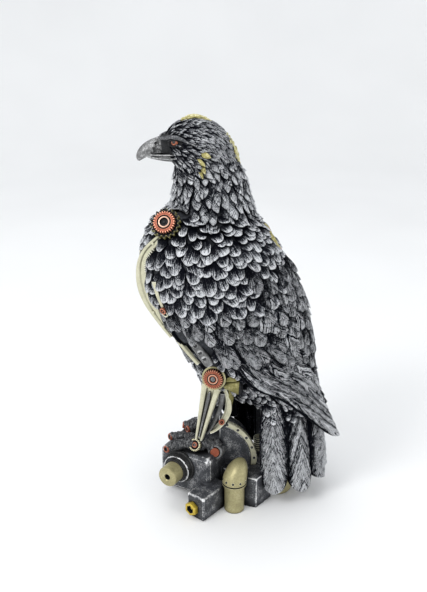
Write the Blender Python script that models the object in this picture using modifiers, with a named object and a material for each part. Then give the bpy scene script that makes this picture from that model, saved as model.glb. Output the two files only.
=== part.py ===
"""Steampunk eagle figurine: a cast eagle with folded wings, perched on a cast engine.

Frame: +Z up, the breast faces -Y and the eagle's left wing is on +X. The origin is on the underside
of the plinth, below the middle of the eagle. Lengths are in metres.
"""

import math

import bmesh
import bpy
from mathutils import Matrix, Vector

# Driving dimensions
EAGLE_HEIGHT = 0.240  # from the perch to the crown
GAP = 0.0003  # clearance between pieces that touch

# The engine and the rest of the plinth, in the plinth's own frame, whose front is -Y
PLINTH_YAW = math.radians(48.0)
ENGINE_CORNER = (0.0165, -0.0245)  # the foot of its right-hand front edge
ENGINE_YAW = math.radians(10.0)
ENGINE_WIDTH = 0.042
ENGINE_DEPTH = 0.050
ENGINE_HEIGHT = 0.039
ENGINE_BEVEL = 0.0022
UNDERCUT_WIDTH = 0.0260
UNDERCUT_DEPTH = 0.0100
UNDERCUT_HEIGHT = 0.0085
NOZZLE_HEIGHT = 0.0272  # of its axis
NOZZLE_INSET = 0.0248  # of its axis, from the engine's right-hand side
BOSS_RADIUS = 0.0106
BOSS_LENGTH = 0.0055
NOZZLE_RADIUS = 0.0075
NOZZLE_LENGTH = 0.0126
NOZZLE_BORE = 0.0021
NOZZLE_BORE_DEPTH = 0.0060
BOX_CORNER = (0.0251, -0.0410)
BOX_WIDTH = 0.0155
BOX_DEPTH = 0.0280
BOX_HEIGHT = 0.0186
BOX_BEVEL = 0.0009
NUT_HEIGHT = 0.0085  # of its axis
NUT_INSET = 0.0095  # of its axis, from the box's right-hand side
NUT_RADIUS = 0.0050  # to its corners
NUT_LENGTH = 0.0036
NUT_BORE = 0.0027
NUT_BORE_DEPTH = 0.0028
PIPE_CENTRE = (0.0311, -0.0136)
PIPE_RADIUS = 0.0073
PIPE_HEIGHT = 0.0205
DOME_RADIUS = 0.0088
DOME_RISE = 0.0180
DOME_LEAN = 0.0070
STEP_CORNER = (0.0434, -0.0033)
STEP_WIDTH = 0.0320
STEP_DEPTH = 0.0185
STEP_HEIGHT = 0.0243
STEP_CHAMFER = (0.0097, 0.0039)
REAR_CORNER = (0.0240, 0.0390)  # its right-hand back edge
REAR_WIDTH = 0.0300
REAR_DEPTH = 0.0300
REAR_HEIGHT = 0.0200
DRUM_CENTRE = (0.0369, 0.0288)
DRUM_RADIUS = 0.0125
DRUM_HEIGHT = 0.0092
DRUM_BEVEL = 0.0015

# The wheel housing and what stands by it, square to the eagle
WHEEL_AXIS = (-0.0025, 0.0280)  # its y and height
WHEEL_RADIUS = 0.0325
WHEEL_FRONT = 0.0040  # the y where the housing is cut off, behind the left foot
HOUSING_LEFT = 0.0100
HOUSING_RIGHT = -0.0045
RIM_WIDTH = 0.0034
RIM_THICKNESS = 0.0032
RIM_PROUD = 0.0014
RIM_START = math.radians(-22.0)
RIM_END = math.radians(68.0)
COIL_CENTRE = (0.0185, 0.0315)
COIL_RADIUS = 0.0034
COIL_HEIGHT = 0.0108
COIL_RIBS = 5
PLUG_FACE = (0.0190, 0.0005, 0.0400)
PLUG_AIM = (0.95, -0.25, 0.30)
PLUG_RADIUS = 0.0034
PLUG_LENGTH = 0.0030
COLLAR_RADIUS = 0.0052
COLLAR_LENGTH = 0.0110
COLLAR_SETBACK = 0.0010

# The fittings on the eagle
GEAR_TEETH = 16
TOOTH_ROOT = 0.84  # of a gear's radius
SHOULDER_GEAR_RADIUS = 0.0080
SHOULDER_GEAR_THICKNESS = 0.0022
SHOULDER_WHEEL_RADIUS = 0.0098
SHOULDER_WHEEL_THICKNESS = 0.0036
KNEE_GEAR_RADIUS = 0.0068
KNEE_GEAR_THICKNESS = 0.0022
KNEE_WHEEL_RADIUS = 0.0086
KNEE_WHEEL_THICKNESS = 0.0042
ANKLE_GEAR_RADIUS = 0.0046
ANKLE_GEAR_THICKNESS = 0.0022
STRAP_WIDTH = 0.0068
STRAP_THICKNESS = 0.0026
LINK_RADIUS = 0.0014
THIGH_PLATE_WIDTH = 0.0056
THIGH_PLATE_THICKNESS = 0.0022
THIGH_ROD_WIDTH = 0.0030
THIGH_ROD_THICKNESS = 0.0026
SHIN_WIDTH = 0.0132
SHIN_ANKLE_WIDTH = 0.0056
SHIN_THICKNESS = 0.0036
BOW_WIDTH = 0.0032
BOW_THICKNESS = 0.0032
CAP_RADIUS = 0.0090
CREST_WIDTH = 0.0070
CREST_THICKNESS = 0.0030
SPINE_WIDTH = 0.0056
SPINE_THICKNESS = 0.0044

# Casting detail
VOXEL = 0.0012
EAGLE_TRIANGLES = 3300

# One unit is a 240th of the eagle's height, so the eagle's free form follows that height
UNIT = EAGLE_HEIGHT / 240
PERCH = ENGINE_HEIGHT
GREY = ("cast_grey", (0.16, 0.165, 0.18, 1.0), 0.55, 0.85)
DARK = ("engine_dark", (0.10, 0.105, 0.12, 1.0), 0.5, 0.85)
BRASS = ("brass", (0.62, 0.55, 0.32, 1.0), 0.38, 0.9)
COPPER = ("copper", (0.80, 0.38, 0.24, 1.0), 0.42, 0.85)

# The trunk with its folded wings: height above the perch, front, back and half width, in units
TRUNK = [
    (32, 29, 51, 7),
    (39, 15, 58, 17),
    (49, 0, 64, 24),
    (61, -12, 68, 31),
    (76, -20, 68, 37),
    (91, -28.5, 66, 41),
    (106, -37, 62, 44),
    (121, -45, 57, 46),
    (136, -48.5, 50, 47),
    (151, -48.5, 42, 46),
    (164, -44, 34.5, 43),
    (173, -36, 27.5, 35),
    (183, -26, 24, 24),
]
# The neck and head, from inside the collar to the crown
HEAD = [
    (156, -19, 14, 24),
    (166, -26, 22.5, 31),
    (175, -27, 24.5, 29.5),
    (183, -25.5, 23, 26.5),
    (193, -24.5, 21.5, 23.5),
    (203, -24.5, 18.5, 21.5),
    (211, -29, 17, 21),
    (219, -35, 14.5, 20.5),
    (226, -33, 11, 18.5),
    (232, -29, 5, 15),
    (236.5, -23, -1, 10.5),
    (239, -16, -8, 4),
]
TRUNK_POWER = 2.25
HEAD_POWER = 2.1


def material(finish):
    """The shader of one finish, made once."""
    name, colour, roughness, metallic = finish
    found = bpy.data.materials.get(name)
    if found:
        return found
    made = bpy.data.materials.new(name)
    made.use_nodes = True
    shader = made.node_tree.nodes["Principled BSDF"]
    shader.inputs["Base Color"].default_value = colour
    shader.inputs["Roughness"].default_value = roughness
    shader.inputs["Metallic"].default_value = metallic
    made.diffuse_color = colour
    return made


def add_part(name, mesh, finish, collection):
    """A named piece with its own material, shaded smooth but for its sharp edges."""
    obj = bpy.data.objects.new(name, mesh)
    mesh.materials.clear()
    mesh.materials.append(material(finish))
    mesh.shade_smooth()
    mesh.set_sharp_from_angle(angle=math.radians(35))
    collection.objects.link(obj)
    return obj


def add_cutter(name, mesh, collection):
    """A shape that other pieces are cut or joined by, and that isn't a piece itself."""
    obj = bpy.data.objects.new(name, mesh)
    obj.hide_render = True
    obj.display_type = "WIRE"
    collection.objects.link(obj)
    return obj


def add_boolean(obj, operation, collection):
    """Joins to the object, or cuts from it, all the shapes of a collection."""
    modifier = obj.modifiers.new(f"{operation.lower()}_{collection.name}", "BOOLEAN")
    modifier.operation = operation
    modifier.operand_type = "COLLECTION"
    modifier.collection = collection
    modifier.solver = "EXACT"


def evaluated_mesh(obj):
    """The object's mesh with its modifiers applied."""
    graph = bpy.context.evaluated_depsgraph_get()
    return bpy.data.meshes.new_from_object(obj.evaluated_get(graph))


def mesh_of(bm, name):
    """A mesh from a bmesh, with its faces pointing out."""
    bmesh.ops.recalc_face_normals(bm, faces=bm.faces)
    mesh = bpy.data.meshes.new(name)
    bm.to_mesh(mesh)
    bm.free()
    return mesh


def grown(mesh):
    """A copy of the mesh with every face moved out by the clearance."""
    bm = bmesh.new()
    bm.from_mesh(mesh)
    moves = [(v, v.normal * v.calc_shell_factor() * GAP) for v in bm.verts]
    for vert, move in moves:
        vert.co += move
    return mesh_of(bm, f"{mesh.name}_seat")


def placed(mesh, matrix):
    """The mesh, moved by the matrix."""
    mesh.transform(matrix)
    return mesh


def turned(angle, axis="Z"):
    """A turn about one axis, as a 4x4 matrix."""
    return Matrix.Rotation(angle, 4, axis)


def moved(x=0.0, y=0.0, z=0.0):
    """A shift, as a 4x4 matrix."""
    return Matrix.Translation((x, y, z))


def aligned(point, outward, upward=Vector((0, 0, 1))):
    """A frame at point, with its local Z along outward and its local Y as near upward as can be."""
    z = Vector(outward).normalized()
    x = Vector(upward).cross(z).normalized()
    frame = Matrix((x, z.cross(x), z)).transposed().to_4x4()
    frame.translation = Vector(point)
    return frame


def box_mesh(low, high, bevel=0.0):
    """A box between two corners, with its edges cut off by bevel."""
    bm = bmesh.new()
    size = [b - a for a, b in zip(low, high)]
    middle = [(a + b) / 2 for a, b in zip(low, high)]
    bmesh.ops.create_cube(bm, size=1, matrix=moved(*middle) @ Matrix.Diagonal((*size, 1)))
    if bevel:
        bmesh.ops.bevel(
            bm, geom=bm.edges[:], offset=bevel, segments=1, profile=0.5, affect="EDGES", material=-1
        )
    return mesh_of(bm, "box")


def cylinder_mesh(radius, low, high, around=24, tip=None):
    """A cylinder, or a cone to the radius tip, about Z between two heights."""
    bm = bmesh.new()
    bmesh.ops.create_cone(
        bm,
        cap_ends=True,
        segments=around,
        radius1=radius,
        radius2=radius if tip is None else tip,
        depth=high - low,
        matrix=moved(z=(low + high) / 2),
    )
    return mesh_of(bm, "cylinder")


def spun_mesh(profile, around=20):
    """A solid of revolution about Z, from a profile of (radius, height) that starts and ends on Z."""
    bm = bmesh.new()
    verts = [bm.verts.new((radius, 0, height)) for radius, height in profile]
    edges = [bm.edges.new(pair) for pair in zip(verts, verts[1:])]
    bmesh.ops.spin(
        bm, geom=verts + edges, cent=(0, 0, 0), axis=(0, 0, 1), angle=2 * math.pi, steps=around
    )
    bmesh.ops.remove_doubles(bm, verts=bm.verts, dist=1e-6)
    return mesh_of(bm, "spun")


def prism_mesh(outline, low, high):
    """A flat outline in XY, extruded from one height to another."""
    bm = bmesh.new()
    face = bm.faces.new([bm.verts.new((x, y, low)) for x, y in outline])
    wall = bmesh.ops.extrude_face_region(bm, geom=[face])["geom"]
    top = [v for v in wall if isinstance(v, bmesh.types.BMVert)]
    bmesh.ops.translate(bm, verts=top, vec=(0, 0, high - low))
    return mesh_of(bm, "prism")


def add_loft(bm, rings, closed=False):
    """Faces between rings of equal length, which are capped at both ends or joined end to end."""
    rows = [[bm.verts.new(point) for point in ring] for ring in rings]
    count = len(rows[0])
    pairs = list(zip(rows, rows[1:]))
    if closed:
        pairs.append((rows[-1], rows[0]))
    else:
        bm.faces.new(rows[0][::-1])
        bm.faces.new(rows[-1])
    for low, high in pairs:
        for k in range(count):
            j = (k + 1) % count
            bm.faces.new((low[k], low[j], high[j], high[k]))


def loft_mesh(rings):
    """A closed mesh lofted through the rings."""
    bm = bmesh.new()
    add_loft(bm, rings)
    return mesh_of(bm, "loft")


def add_tube(bm, path, radii, around=10):
    """A round limb through the points, with a radius at each."""
    rings = []
    for i, centre in enumerate(path):
        along = path[min(i + 1, len(path) - 1)] - path[max(i - 1, 0)]
        frame = aligned(centre, along, Vector((0.03, 1, 0.05)))
        angles = [2 * math.pi * j / around for j in range(around)]
        ring = [Vector((radii[i] * math.cos(a), radii[i] * math.sin(a), 0)) for a in angles]
        rings.append([frame @ point for point in ring])
    add_loft(bm, rings)


def bar_mesh(path, normals, widths, thickness):
    """A flat bar along a path, with a crowned broad face along the normals."""
    rings = []
    for i, centre in enumerate(path):
        along = (path[min(i + 1, len(path) - 1)] - path[max(i - 1, 0)]).normalized()
        side = along.cross(normals[i]).normalized()
        out = side.cross(along)
        a, b = widths[i] / 2, thickness / 2
        corners = ((a, -b), (a, 0.4 * b), (0.6 * a, b), (-0.6 * a, b), (-a, 0.4 * b), (-a, -b))
        rings.append([centre + side * x + out * y for x, y in corners])
    return loft_mesh(rings)


def between(a, b, c, d, t):
    """A value between b and c on a Catmull-Rom curve through four."""
    return b + 0.5 * t * (c - a + t * (2 * a - 5 * b + 4 * c - d + t * (3 * (b - c) + d - a)))


def smooth_row(table, key):
    """A row of the table, without its key, at a key between those of its rows."""
    keys = [row[0] for row in table]
    key = min(max(key, keys[0]), keys[-1])
    i = max(k for k in range(len(table) - 1) if keys[k] <= key)
    t = (key - keys[i]) / (keys[i + 1] - keys[i])
    rows = (table[max(i - 1, 0)], table[i], table[i + 1], table[min(i + 2, len(table) - 1)])
    return [between(*values, t) for values in zip(*(row[1:] for row in rows))]


def spaced(points, count):
    """That many points along a smooth curve through the given ones."""
    table = [(i, *point) for i, point in enumerate(points)]
    last = len(points) - 1
    return [Vector(smooth_row(table, last * k / (count - 1))) for k in range(count)]


def units(x, y, height):
    """A point given in units, with its height above the perch."""
    return Vector((x * UNIT, y * UNIT, PERCH + height * UNIT))


def section_point(table, power, angle, height):
    """A point on a lofted form. Angle 0 faces front and 90 degrees is the left side."""
    front, back, half = smooth_row(table, height)
    c, s = math.cos(angle), math.sin(angle)
    reach = (abs(c) ** power + abs(s) ** power) ** (-1 / power)
    return units(half * s * reach, (front + back) / 2 - (back - front) / 2 * c * reach, height)


def on_form(degrees, height, out=0.0, table=TRUNK, power=TRUNK_POWER):
    """A point on a lofted form, out units proud of it, and the form's outward direction there."""
    angle = math.radians(degrees)
    here = section_point(table, power, angle, height)
    around = section_point(table, power, angle + 0.02, height) - here
    above = section_point(table, power, angle, height + 1)
    upward = above - section_point(table, power, angle, height - 1)
    normal = around.cross(upward).normalized()
    return here + normal * out * UNIT, normal


def on_neck(degrees, height, out=0.0):
    """The same on the neck and head."""
    return on_form(degrees, height, out, HEAD, HEAD_POWER)


def form_rings(table, power, steps, count):
    """The rings of a lofted form, as many between each two rows of its table as in any other two."""
    last = len(table) - 1
    heights = [(i, row[0]) for i, row in enumerate(table)]
    angles = [2 * math.pi * k / count for k in range(count)]
    rings = []
    for i in range(steps + 1):
        (height,) = smooth_row(heights, last * i / steps)
        rings.append([section_point(table, power, a, height) for a in angles])
    return rings


def add_feather(bm, path, normal, width, thickness, blunt=0.5):
    """A solid feather along a path, with a narrower root and a tip that rounds off past blunt."""
    stations, around = 7, 8
    last = len(path) - 1
    rings = []
    for i in range(stations):
        t = i / (stations - 1)
        k = min(int(t * last), last - 1)
        centre = path[k].lerp(path[k + 1], t * last - k)
        along = (path[k + 1] - path[k]).normalized()
        side = along.cross(normal).normalized()
        out = side.cross(along)
        tip = max(0.0, (t - blunt) / (1 - blunt))
        half = width / 2 * min(1.0, 0.55 + 1.1 * t) * math.sqrt(1 - tip**2.2) + GAP
        rise = thickness / 2 * (1 - 0.45 * t)
        angles = [2 * math.pi * j / around for j in range(around)]
        rings.append([centre + side * half * math.cos(a) + out * rise * math.sin(a) for a in angles])
    add_loft(bm, rings)


def add_coverts(bm, side):
    """Rows of short wing feathers, laid like tiles down and back over the folded wing."""
    rows = (
        (158, 34, 160, 8, 15, 11),
        (147, 30, 162, 9, 17, 12),
        (136, 30, 164, 9, 19, 12),
        (124, 30, 162, 9, 21, 13),
        (112, 36, 160, 8, 25, 13),
        (99, 44, 158, 8, 30, 12),
        (86, 58, 156, 7, 36, 12),
    )
    for index, (height, first, last, count, length, width) in enumerate(rows):
        for k in range(count):
            share = (k + 0.5 * (index % 2)) / (count - 0.5)
            angle = first + (last - first) * share
            sweep = (8 + 22 * share) * length / 30
            path = []
            for t in (0.0, 0.5, 1.0):
                degrees = side * (angle + sweep * t)
                point, normal = on_form(degrees, height - 0.85 * length * t, 0.2 + 2.8 * t)
                path.append(point)
            add_feather(bm, path, normal, width * UNIT, 4.4 * UNIT)


def add_flight_feathers(bm, side):
    """The long feathers of one folded wing, fanned from its lower edge up to the back."""
    count = 8
    for k in range(count):
        share = k / (count - 1)
        root = units(side * (36 - 8 * share), 10 + 32 * share, 76 + 16 * share)
        middle = units(side * (27 - 4 * share), 48 + 17 * share, 50 + 18 * share)
        tip = units(side * (13 + 3 * share), 87.5 - 14 * share, 13 + 37 * share)
        normal = Vector((side * 0.9, 0.25 + 0.3 * share, 0.3))
        bend = root.lerp(middle, 0.5) + Vector((side * 2 * UNIT, 0, 0))
        lift = normal * (1.2 * UNIT * (k % 2))
        path = [point + lift for point in (root, bend, middle, tip)]
        add_feather(bm, path, normal, 11 * UNIT, 7 * UNIT, 0.8)


def tail_place(degrees, drop):
    """A point on the cupped tail, at an angle round it from the back and a drop from 0 to 1."""
    angle = math.radians(degrees)
    spread = 0.84 + 0.16 * drop
    x = 27 * spread * math.sin(angle)
    y = 46.5 + 4 * drop + 28 * spread * math.cos(angle)
    return units(x, y, 50 - 78 * drop)


def add_tail(bm):
    """Seven broad tail feathers, overlapping round a cupped tail."""
    for k in range(-3, 4):
        degrees = 36 * k
        around = math.radians(degrees)
        normal = Vector((math.sin(around), math.cos(around), 0.1))
        lift = normal * 1.4 * UNIT * (abs(k) % 2)
        reach = 1.0 if abs(k) > 1 else 0.92
        path = [tail_place(degrees, reach * t) + lift for t in (0.0, 0.35, 0.7, 1.0)]
        add_feather(bm, path, normal, 20 * UNIT, 7 * UNIT, 0.72)


def add_hackles(bm):
    """Pointed neck feathers that end in a collar over the shoulders."""
    rows = ((204, 12, 22, 8), (192, 13, 22, 9), (183, 15, 20, 10))
    for index, (height, count, length, width) in enumerate(rows):
        for k in range(count):
            degrees = 360 * (k + 0.5 * (index % 2)) / count
            path = []
            for t in (0.0, 0.5, 1.0):
                point, normal = on_neck(degrees, height - length * t, 1.2 * t)
                path.append(point)
            add_feather(bm, path, normal, width * UNIT, 3.6 * UNIT, 0.3)


def add_wing_bend(bm, side):
    """The round front corner of a folded wing, higher on the left for the wheel it carries."""
    height = 163 if side > 0 else 150
    frame = aligned(units(side * 27, -25, height), Vector((side * 0.9, -0.35, 0.25)))
    size = Matrix.Diagonal((14 * UNIT, 20 * UNIT, 13 * UNIT, 1))
    bmesh.ops.create_uvsphere(bm, u_segments=18, v_segments=10, radius=1, matrix=frame @ size)


LEFT_LEG = {"knee": (20, 1, 67), "ankle": (14, -9, 11)}
RIGHT_LEG = {"knee": (-17, -3, 58), "ankle": (-16, 4, 11)}
TOES = ((-24, 24, 3.0), (4, 26, 1.5), (34, 23, 0.5), (180, 15, 1.5))


def add_leg(bm, leg, feathered):
    """A thigh, a shank and a foot with three front toes and a back one."""
    side = 1 if leg["knee"][0] > 0 else -1
    knee, ankle = units(*leg["knee"]), units(*leg["ankle"])
    hip = units(side * 17, 2, 92)
    add_tube(bm, [hip, hip.lerp(knee, 0.6), knee], [19 * UNIT, 15 * UNIT, 9 * UNIT])
    add_tube(bm, [knee, knee.lerp(ankle, 0.5), ankle], [5.4 * UNIT, 4.6 * UNIT, 5.2 * UNIT])
    if feathered:
        low = knee.lerp(ankle, 0.6)
        add_tube(bm, [hip, knee, low], [16 * UNIT, 12.5 * UNIT, 6 * UNIT])
    pad = units(leg["ankle"][0], leg["ankle"][1], 5)
    add_tube(bm, [ankle, pad], [5.6 * UNIT, 7.0 * UNIT])
    for heading, length, tip_height in TOES:
        turn = math.radians(side * heading)
        ahead = Vector((math.sin(turn), -math.cos(turn), 0))
        knuckle = pad + ahead * length * 0.35 * UNIT + Vector((0, 0, 1.5 * UNIT))
        tip = pad + ahead * length * UNIT
        tip.z = PERCH + tip_height * UNIT
        path = [pad, knuckle, pad + ahead * length * 0.75 * UNIT, tip]
        add_tube(bm, path, [4.6 * UNIT, 4.4 * UNIT, 3.8 * UNIT, 2.6 * UNIT], 8)


# The beak: y, height above the perch, half height and half width, in units, from its root to its hook
BEAK = (
    (-26, 216.0, 9.0, 8.5),
    (-35, 217.5, 6.6, 6.0),
    (-41, 217.0, 5.0, 4.3),
    (-46, 214.8, 3.6, 3.0),
    (-49, 212.0, 2.3, 1.8),
    (-49.6, 209.4, 0.8, 0.7),
)


def add_beak(bm):
    """The hooked beak and the heavy brows."""
    rings = []
    for y, height, tall, wide in BEAK:
        lean = 0.55 if y < -45 else 0.05
        ring = []
        for j in range(10):
            a = 2 * math.pi * j / 10
            rise = tall * math.sin(a)
            ring.append(units(wide * math.cos(a), y - lean * rise, height + rise))
        rings.append(ring)
    add_loft(bm, rings)
    for side in (1, -1):
        brow = [units(side * 9, -31, 224.5), units(side * 16, -24, 224.5), units(side * 18, -14, 221)]
        add_tube(bm, brow, [2.5 * UNIT, 3.4 * UNIT, 2.5 * UNIT], 8)


def eagle_shapes():
    """Every form of the eagle, overlapping, in one mesh."""
    bm = bmesh.new()
    add_loft(bm, form_rings(TRUNK, TRUNK_POWER, 24, 28))
    add_loft(bm, form_rings(HEAD, HEAD_POWER, 22, 24))
    for side in (1, -1):
        add_wing_bend(bm, side)
        add_coverts(bm, side)
        add_flight_feathers(bm, side)
    add_tail(bm)
    add_hackles(bm)
    add_beak(bm)
    add_leg(bm, LEFT_LEG, feathered=False)
    add_leg(bm, RIGHT_LEG, feathered=True)
    rump = [units(0, 42, 66), units(0, 48, 42), units(0, 52, 12), units(0, 55, -10)]
    add_tube(bm, rump, [24 * UNIT, 18 * UNIT, 17 * UNIT, 14 * UNIT], 14)
    return mesh_of(bm, "eagle_shapes")


def largest_shell(mesh):
    """The outer surface alone, without any pocket closed in under the feathers."""
    bm = bmesh.new()
    bm.from_mesh(mesh)
    left = set(bm.verts)
    shells = []
    while left:
        shell, edge = set(), [left.pop()]
        while edge:
            vert = edge.pop()
            shell.add(vert)
            near = {e.other_vert(vert) for e in vert.link_edges} & left
            left -= near
            edge.extend(near)
        shells.append(shell)
    keep = max(shells, key=len)
    bmesh.ops.delete(bm, geom=[v for v in bm.verts if v not in keep], context="VERTS")
    bm.to_mesh(mesh)
    bm.free()
    return mesh


def one_skin(mesh, voxel, triangles):
    """One skin round all the forms in the mesh, thinned to a number of triangles."""
    helper = bpy.data.objects.new("helper", mesh)
    bpy.context.scene.collection.objects.link(helper)
    remesh = helper.modifiers.new("one_skin", "REMESH")
    remesh.mode = "VOXEL"
    remesh.voxel_size = voxel
    skin = largest_shell(evaluated_mesh(helper))
    helper.modifiers.clear()
    helper.data = skin
    thin = helper.modifiers.new("fewer_faces", "DECIMATE")
    thin.ratio = triangles / (2 * len(skin.polygons))
    thin.use_collapse_triangulate = True
    thinned = evaluated_mesh(helper)
    bpy.data.objects.remove(helper)
    return thinned


def disc_mesh(radius, thickness):
    """A round disc on Z with a chamfered rim, resting on z = 0."""
    edge = 0.25 * thickness
    profile = [(0, 0), (radius, 0), (radius, thickness - edge), (radius - edge, thickness)]
    return spun_mesh([*profile, (0, thickness)])


def gear_mesh(radius, thickness):
    """A gear on Z with a raised ring and a hub, resting on z = 0."""
    bm = bmesh.new()
    bmesh.ops.create_circle(bm, cap_ends=True, radius=radius, segments=2 * GEAR_TEETH)
    for k, vert in enumerate(bm.verts):
        vert.co *= TOOTH_ROOT if k % 2 else 1.0
    (bottom,) = bm.faces
    made = bmesh.ops.extrude_face_region(bm, geom=[bottom])["geom"]
    top = next(g for g in made if isinstance(g, bmesh.types.BMFace))
    bmesh.ops.translate(bm, verts=top.verts, vec=(0, 0, 0.7 * thickness))
    rings = ((0.66, 1.0), (0.50, 0.75), (0.30, 1.0))
    for share, rise in rings:
        (top,) = bmesh.ops.extrude_discrete_faces(bm, faces=[top])["faces"]
        for vert in top.verts:
            vert.co = vert.co.xy.normalized().to_3d() * share * radius
            vert.co.z = rise * thickness
    return mesh_of(bm, "gear")


def shoulder_frame():
    """The seat of the shoulder wheel, on the bend of the left wing: local Z points away from it."""
    return aligned(units(31.5, -31, 175), Vector((0.84, -0.22, 0.5)))


def knee_frame():
    """The seat of the knee wheel."""
    x, y, height = LEFT_LEG["knee"]
    return aligned(units(x + 11.5, y - 1, height + 1), Vector((0.95, -0.28, 0.12)))


def ankle_frame():
    """The seat of the small gear on the left foot."""
    x, y, _ = LEFT_LEG["ankle"]
    return aligned(units(x + 3.5, y - 4.5, 6.5), Vector((0.78, -0.42, 0.46)))


def wing_strap(side):
    """The strap down the front edge of a folded wing."""
    stations = ((46, 166), (34, 156), (27, 146), (24, 133), (24, 120), (26, 108), (32, 97))
    found = [on_form(side * degrees, height, 1.6) for degrees, height in stations]
    count = 11
    path = spaced([point for point, _ in found], count)
    normals = spaced([normal for _, normal in found], count)
    swell = [0.5 + 0.5 * math.sin(math.pi * (k / (count - 1)) ** 0.7) for k in range(count)]
    return bar_mesh(path, normals, [STRAP_WIDTH * s for s in swell], STRAP_THICKNESS)


def link_rod():
    """A short rod with a ball end, behind the left strap."""
    path = [on_form(degrees, height, 4.0)[0] for degrees, height in ((44, 139), (45, 129), (46, 119))]
    bm = bmesh.new()
    add_tube(bm, path, [LINK_RADIUS, LINK_RADIUS, 1.6 * LINK_RADIUS], 8)
    return mesh_of(bm, "link")


def thigh_plate():
    """The plate above the left knee, behind the strap."""
    found = [on_form(degrees, height, 2.6) for degrees, height in ((46, 95), (50, 86), (54, 78))]
    path = [point for point, _ in found]
    normals = [normal for _, normal in found]
    return bar_mesh(path, normals, [THIGH_PLATE_WIDTH] * 3, THIGH_PLATE_THICKNESS)


def thigh_rod():
    """The flat rod from the foot of the left strap to the knee."""
    found = [on_form(degrees, height, 1.8) for degrees, height in ((33, 95), (37, 86), (43, 77))]
    path = [point for point, _ in found]
    normals = [normal for _, normal in found]
    return bar_mesh(path, normals, [THIGH_ROD_WIDTH] * 3, THIGH_ROD_THICKNESS)


def shin_plate():
    """The tapered plate on the outside of the left shank."""
    knee, ankle = units(*LEFT_LEG["knee"]), units(*LEFT_LEG["ankle"])
    out = Vector((0.93, -0.33, 0.1)).normalized()
    top = knee - Vector((0, UNIT, KNEE_WHEEL_RADIUS + 2.5 * UNIT))
    low = ankle + Vector((0, 0, 2 * UNIT))
    shares = (0, 0.33, 0.66, 1)
    path = [top.lerp(low, t) + out * 6.4 * UNIT for t in shares]
    widths = [SHIN_WIDTH + (SHIN_ANKLE_WIDTH - SHIN_WIDTH) * t for t in shares]
    return bar_mesh(path, [out] * 4, widths, SHIN_THICKNESS)


def calf_bow():
    """The curved bar behind the left shank."""
    count = 9
    path = spaced([units(19, 9, 47), units(19, 10.5, 38), units(18, 8.5, 27), units(16, 3, 16)], count)
    return bar_mesh(path, [Vector((0.97, 0.2, 0))] * count, [BOW_WIDTH] * count, BOW_THICKNESS)


def knee_cap():
    """The domed shell behind the left knee."""
    bm = bmesh.new()
    frame = aligned(units(32, 16, 60.5), Vector((0.9, 0.2, -0.1)))
    size = Matrix.Diagonal((0.68, 0.62, 0.72, 1))
    bmesh.ops.create_uvsphere(bm, u_segments=12, v_segments=7, radius=CAP_RADIUS, matrix=frame @ size)
    return mesh_of(bm, "cap")


def crown_plate():
    """The plate along the top of the head."""
    path = [units(0, y, height) for y, height in ((-21, 236.2), (-15, 239.0), (-8, 238.8), (-2, 235.2))]
    normals = [Vector((0, 0.12 * (k - 2), 1)) for k in range(4)]
    return bar_mesh(path, normals, [CREST_WIDTH] * 4, CREST_THICKNESS)


def nape_plate():
    """The plate down the back of the head."""
    found = [on_neck(180, height, 0) for height in (227, 221, 215, 209, 203)]
    path = [point for point, _ in found]
    normals = [normal for _, normal in found]
    return bar_mesh(path, normals, [CREST_WIDTH] * 5, CREST_THICKNESS)


def spine_rod():
    """The jointed rod down the middle of the back, between the wings."""
    steps, pitch = 13, 3
    found = [on_form(180, 162 - 86 * k / (steps - 1), 1.3) for k in range(steps)]
    path = [point for point, _ in found]
    normals = [normal for _, normal in found]
    widths = [SPINE_WIDTH * (1.3 if k % pitch == 1 else 1.0) for k in range(steps)]
    return bar_mesh(path, normals, widths, SPINE_THICKNESS)


def eagle_fittings():
    """Every metal fitting on the eagle: its name, finish and mesh."""
    made = [
        ("crown_plate", BRASS, crown_plate()),
        ("nape_plate", BRASS, nape_plate()),
        ("spine_rod", BRASS, spine_rod()),
        ("link_rod", BRASS, link_rod()),
        ("thigh_plate", BRASS, thigh_plate()),
        ("thigh_rod", BRASS, thigh_rod()),
        ("shin_plate", BRASS, shin_plate()),
        ("calf_bow", BRASS, calf_bow()),
        ("knee_cap", BRASS, knee_cap()),
    ]
    for side, word in ((1, "left"), (-1, "right")):
        made.append((f"wing_strap_{word}", BRASS, wing_strap(side)))
    wheel = disc_mesh(SHOULDER_WHEEL_RADIUS, SHOULDER_WHEEL_THICKNESS)
    gear = gear_mesh(SHOULDER_GEAR_RADIUS, SHOULDER_GEAR_THICKNESS)
    ahead = moved(z=SHOULDER_WHEEL_THICKNESS + GAP)
    made.append(("shoulder_wheel", BRASS, placed(wheel, shoulder_frame())))
    made.append(("shoulder_gear", COPPER, placed(gear, shoulder_frame() @ ahead)))
    knee_wheel = disc_mesh(KNEE_WHEEL_RADIUS, KNEE_WHEEL_THICKNESS)
    knee_gear = gear_mesh(KNEE_GEAR_RADIUS, KNEE_GEAR_THICKNESS)
    ankle_gear = gear_mesh(ANKLE_GEAR_RADIUS, ANKLE_GEAR_THICKNESS)
    ahead = moved(z=KNEE_WHEEL_THICKNESS + GAP)
    made.append(("knee_wheel", BRASS, placed(knee_wheel, knee_frame())))
    made.append(("knee_gear", COPPER, placed(knee_gear, knee_frame() @ ahead)))
    made.append(("ankle_gear", BRASS, placed(ankle_gear, ankle_frame())))
    return made


PLINTH_FRAME = turned(PLINTH_YAW)
ENGINE_FRAME = PLINTH_FRAME @ moved(*ENGINE_CORNER) @ turned(ENGINE_YAW)
# Local X is the row's Y and local Y its Z, so a shape drawn in XY stands square to the eagle
UPRIGHT = Matrix(((0, 0, 1, 0), (1, 0, 0, 0), (0, 1, 0, 0), (0, 0, 0, 1)))
FORWARD = turned(math.pi / 2, "X")  # local Z becomes -Y


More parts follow.
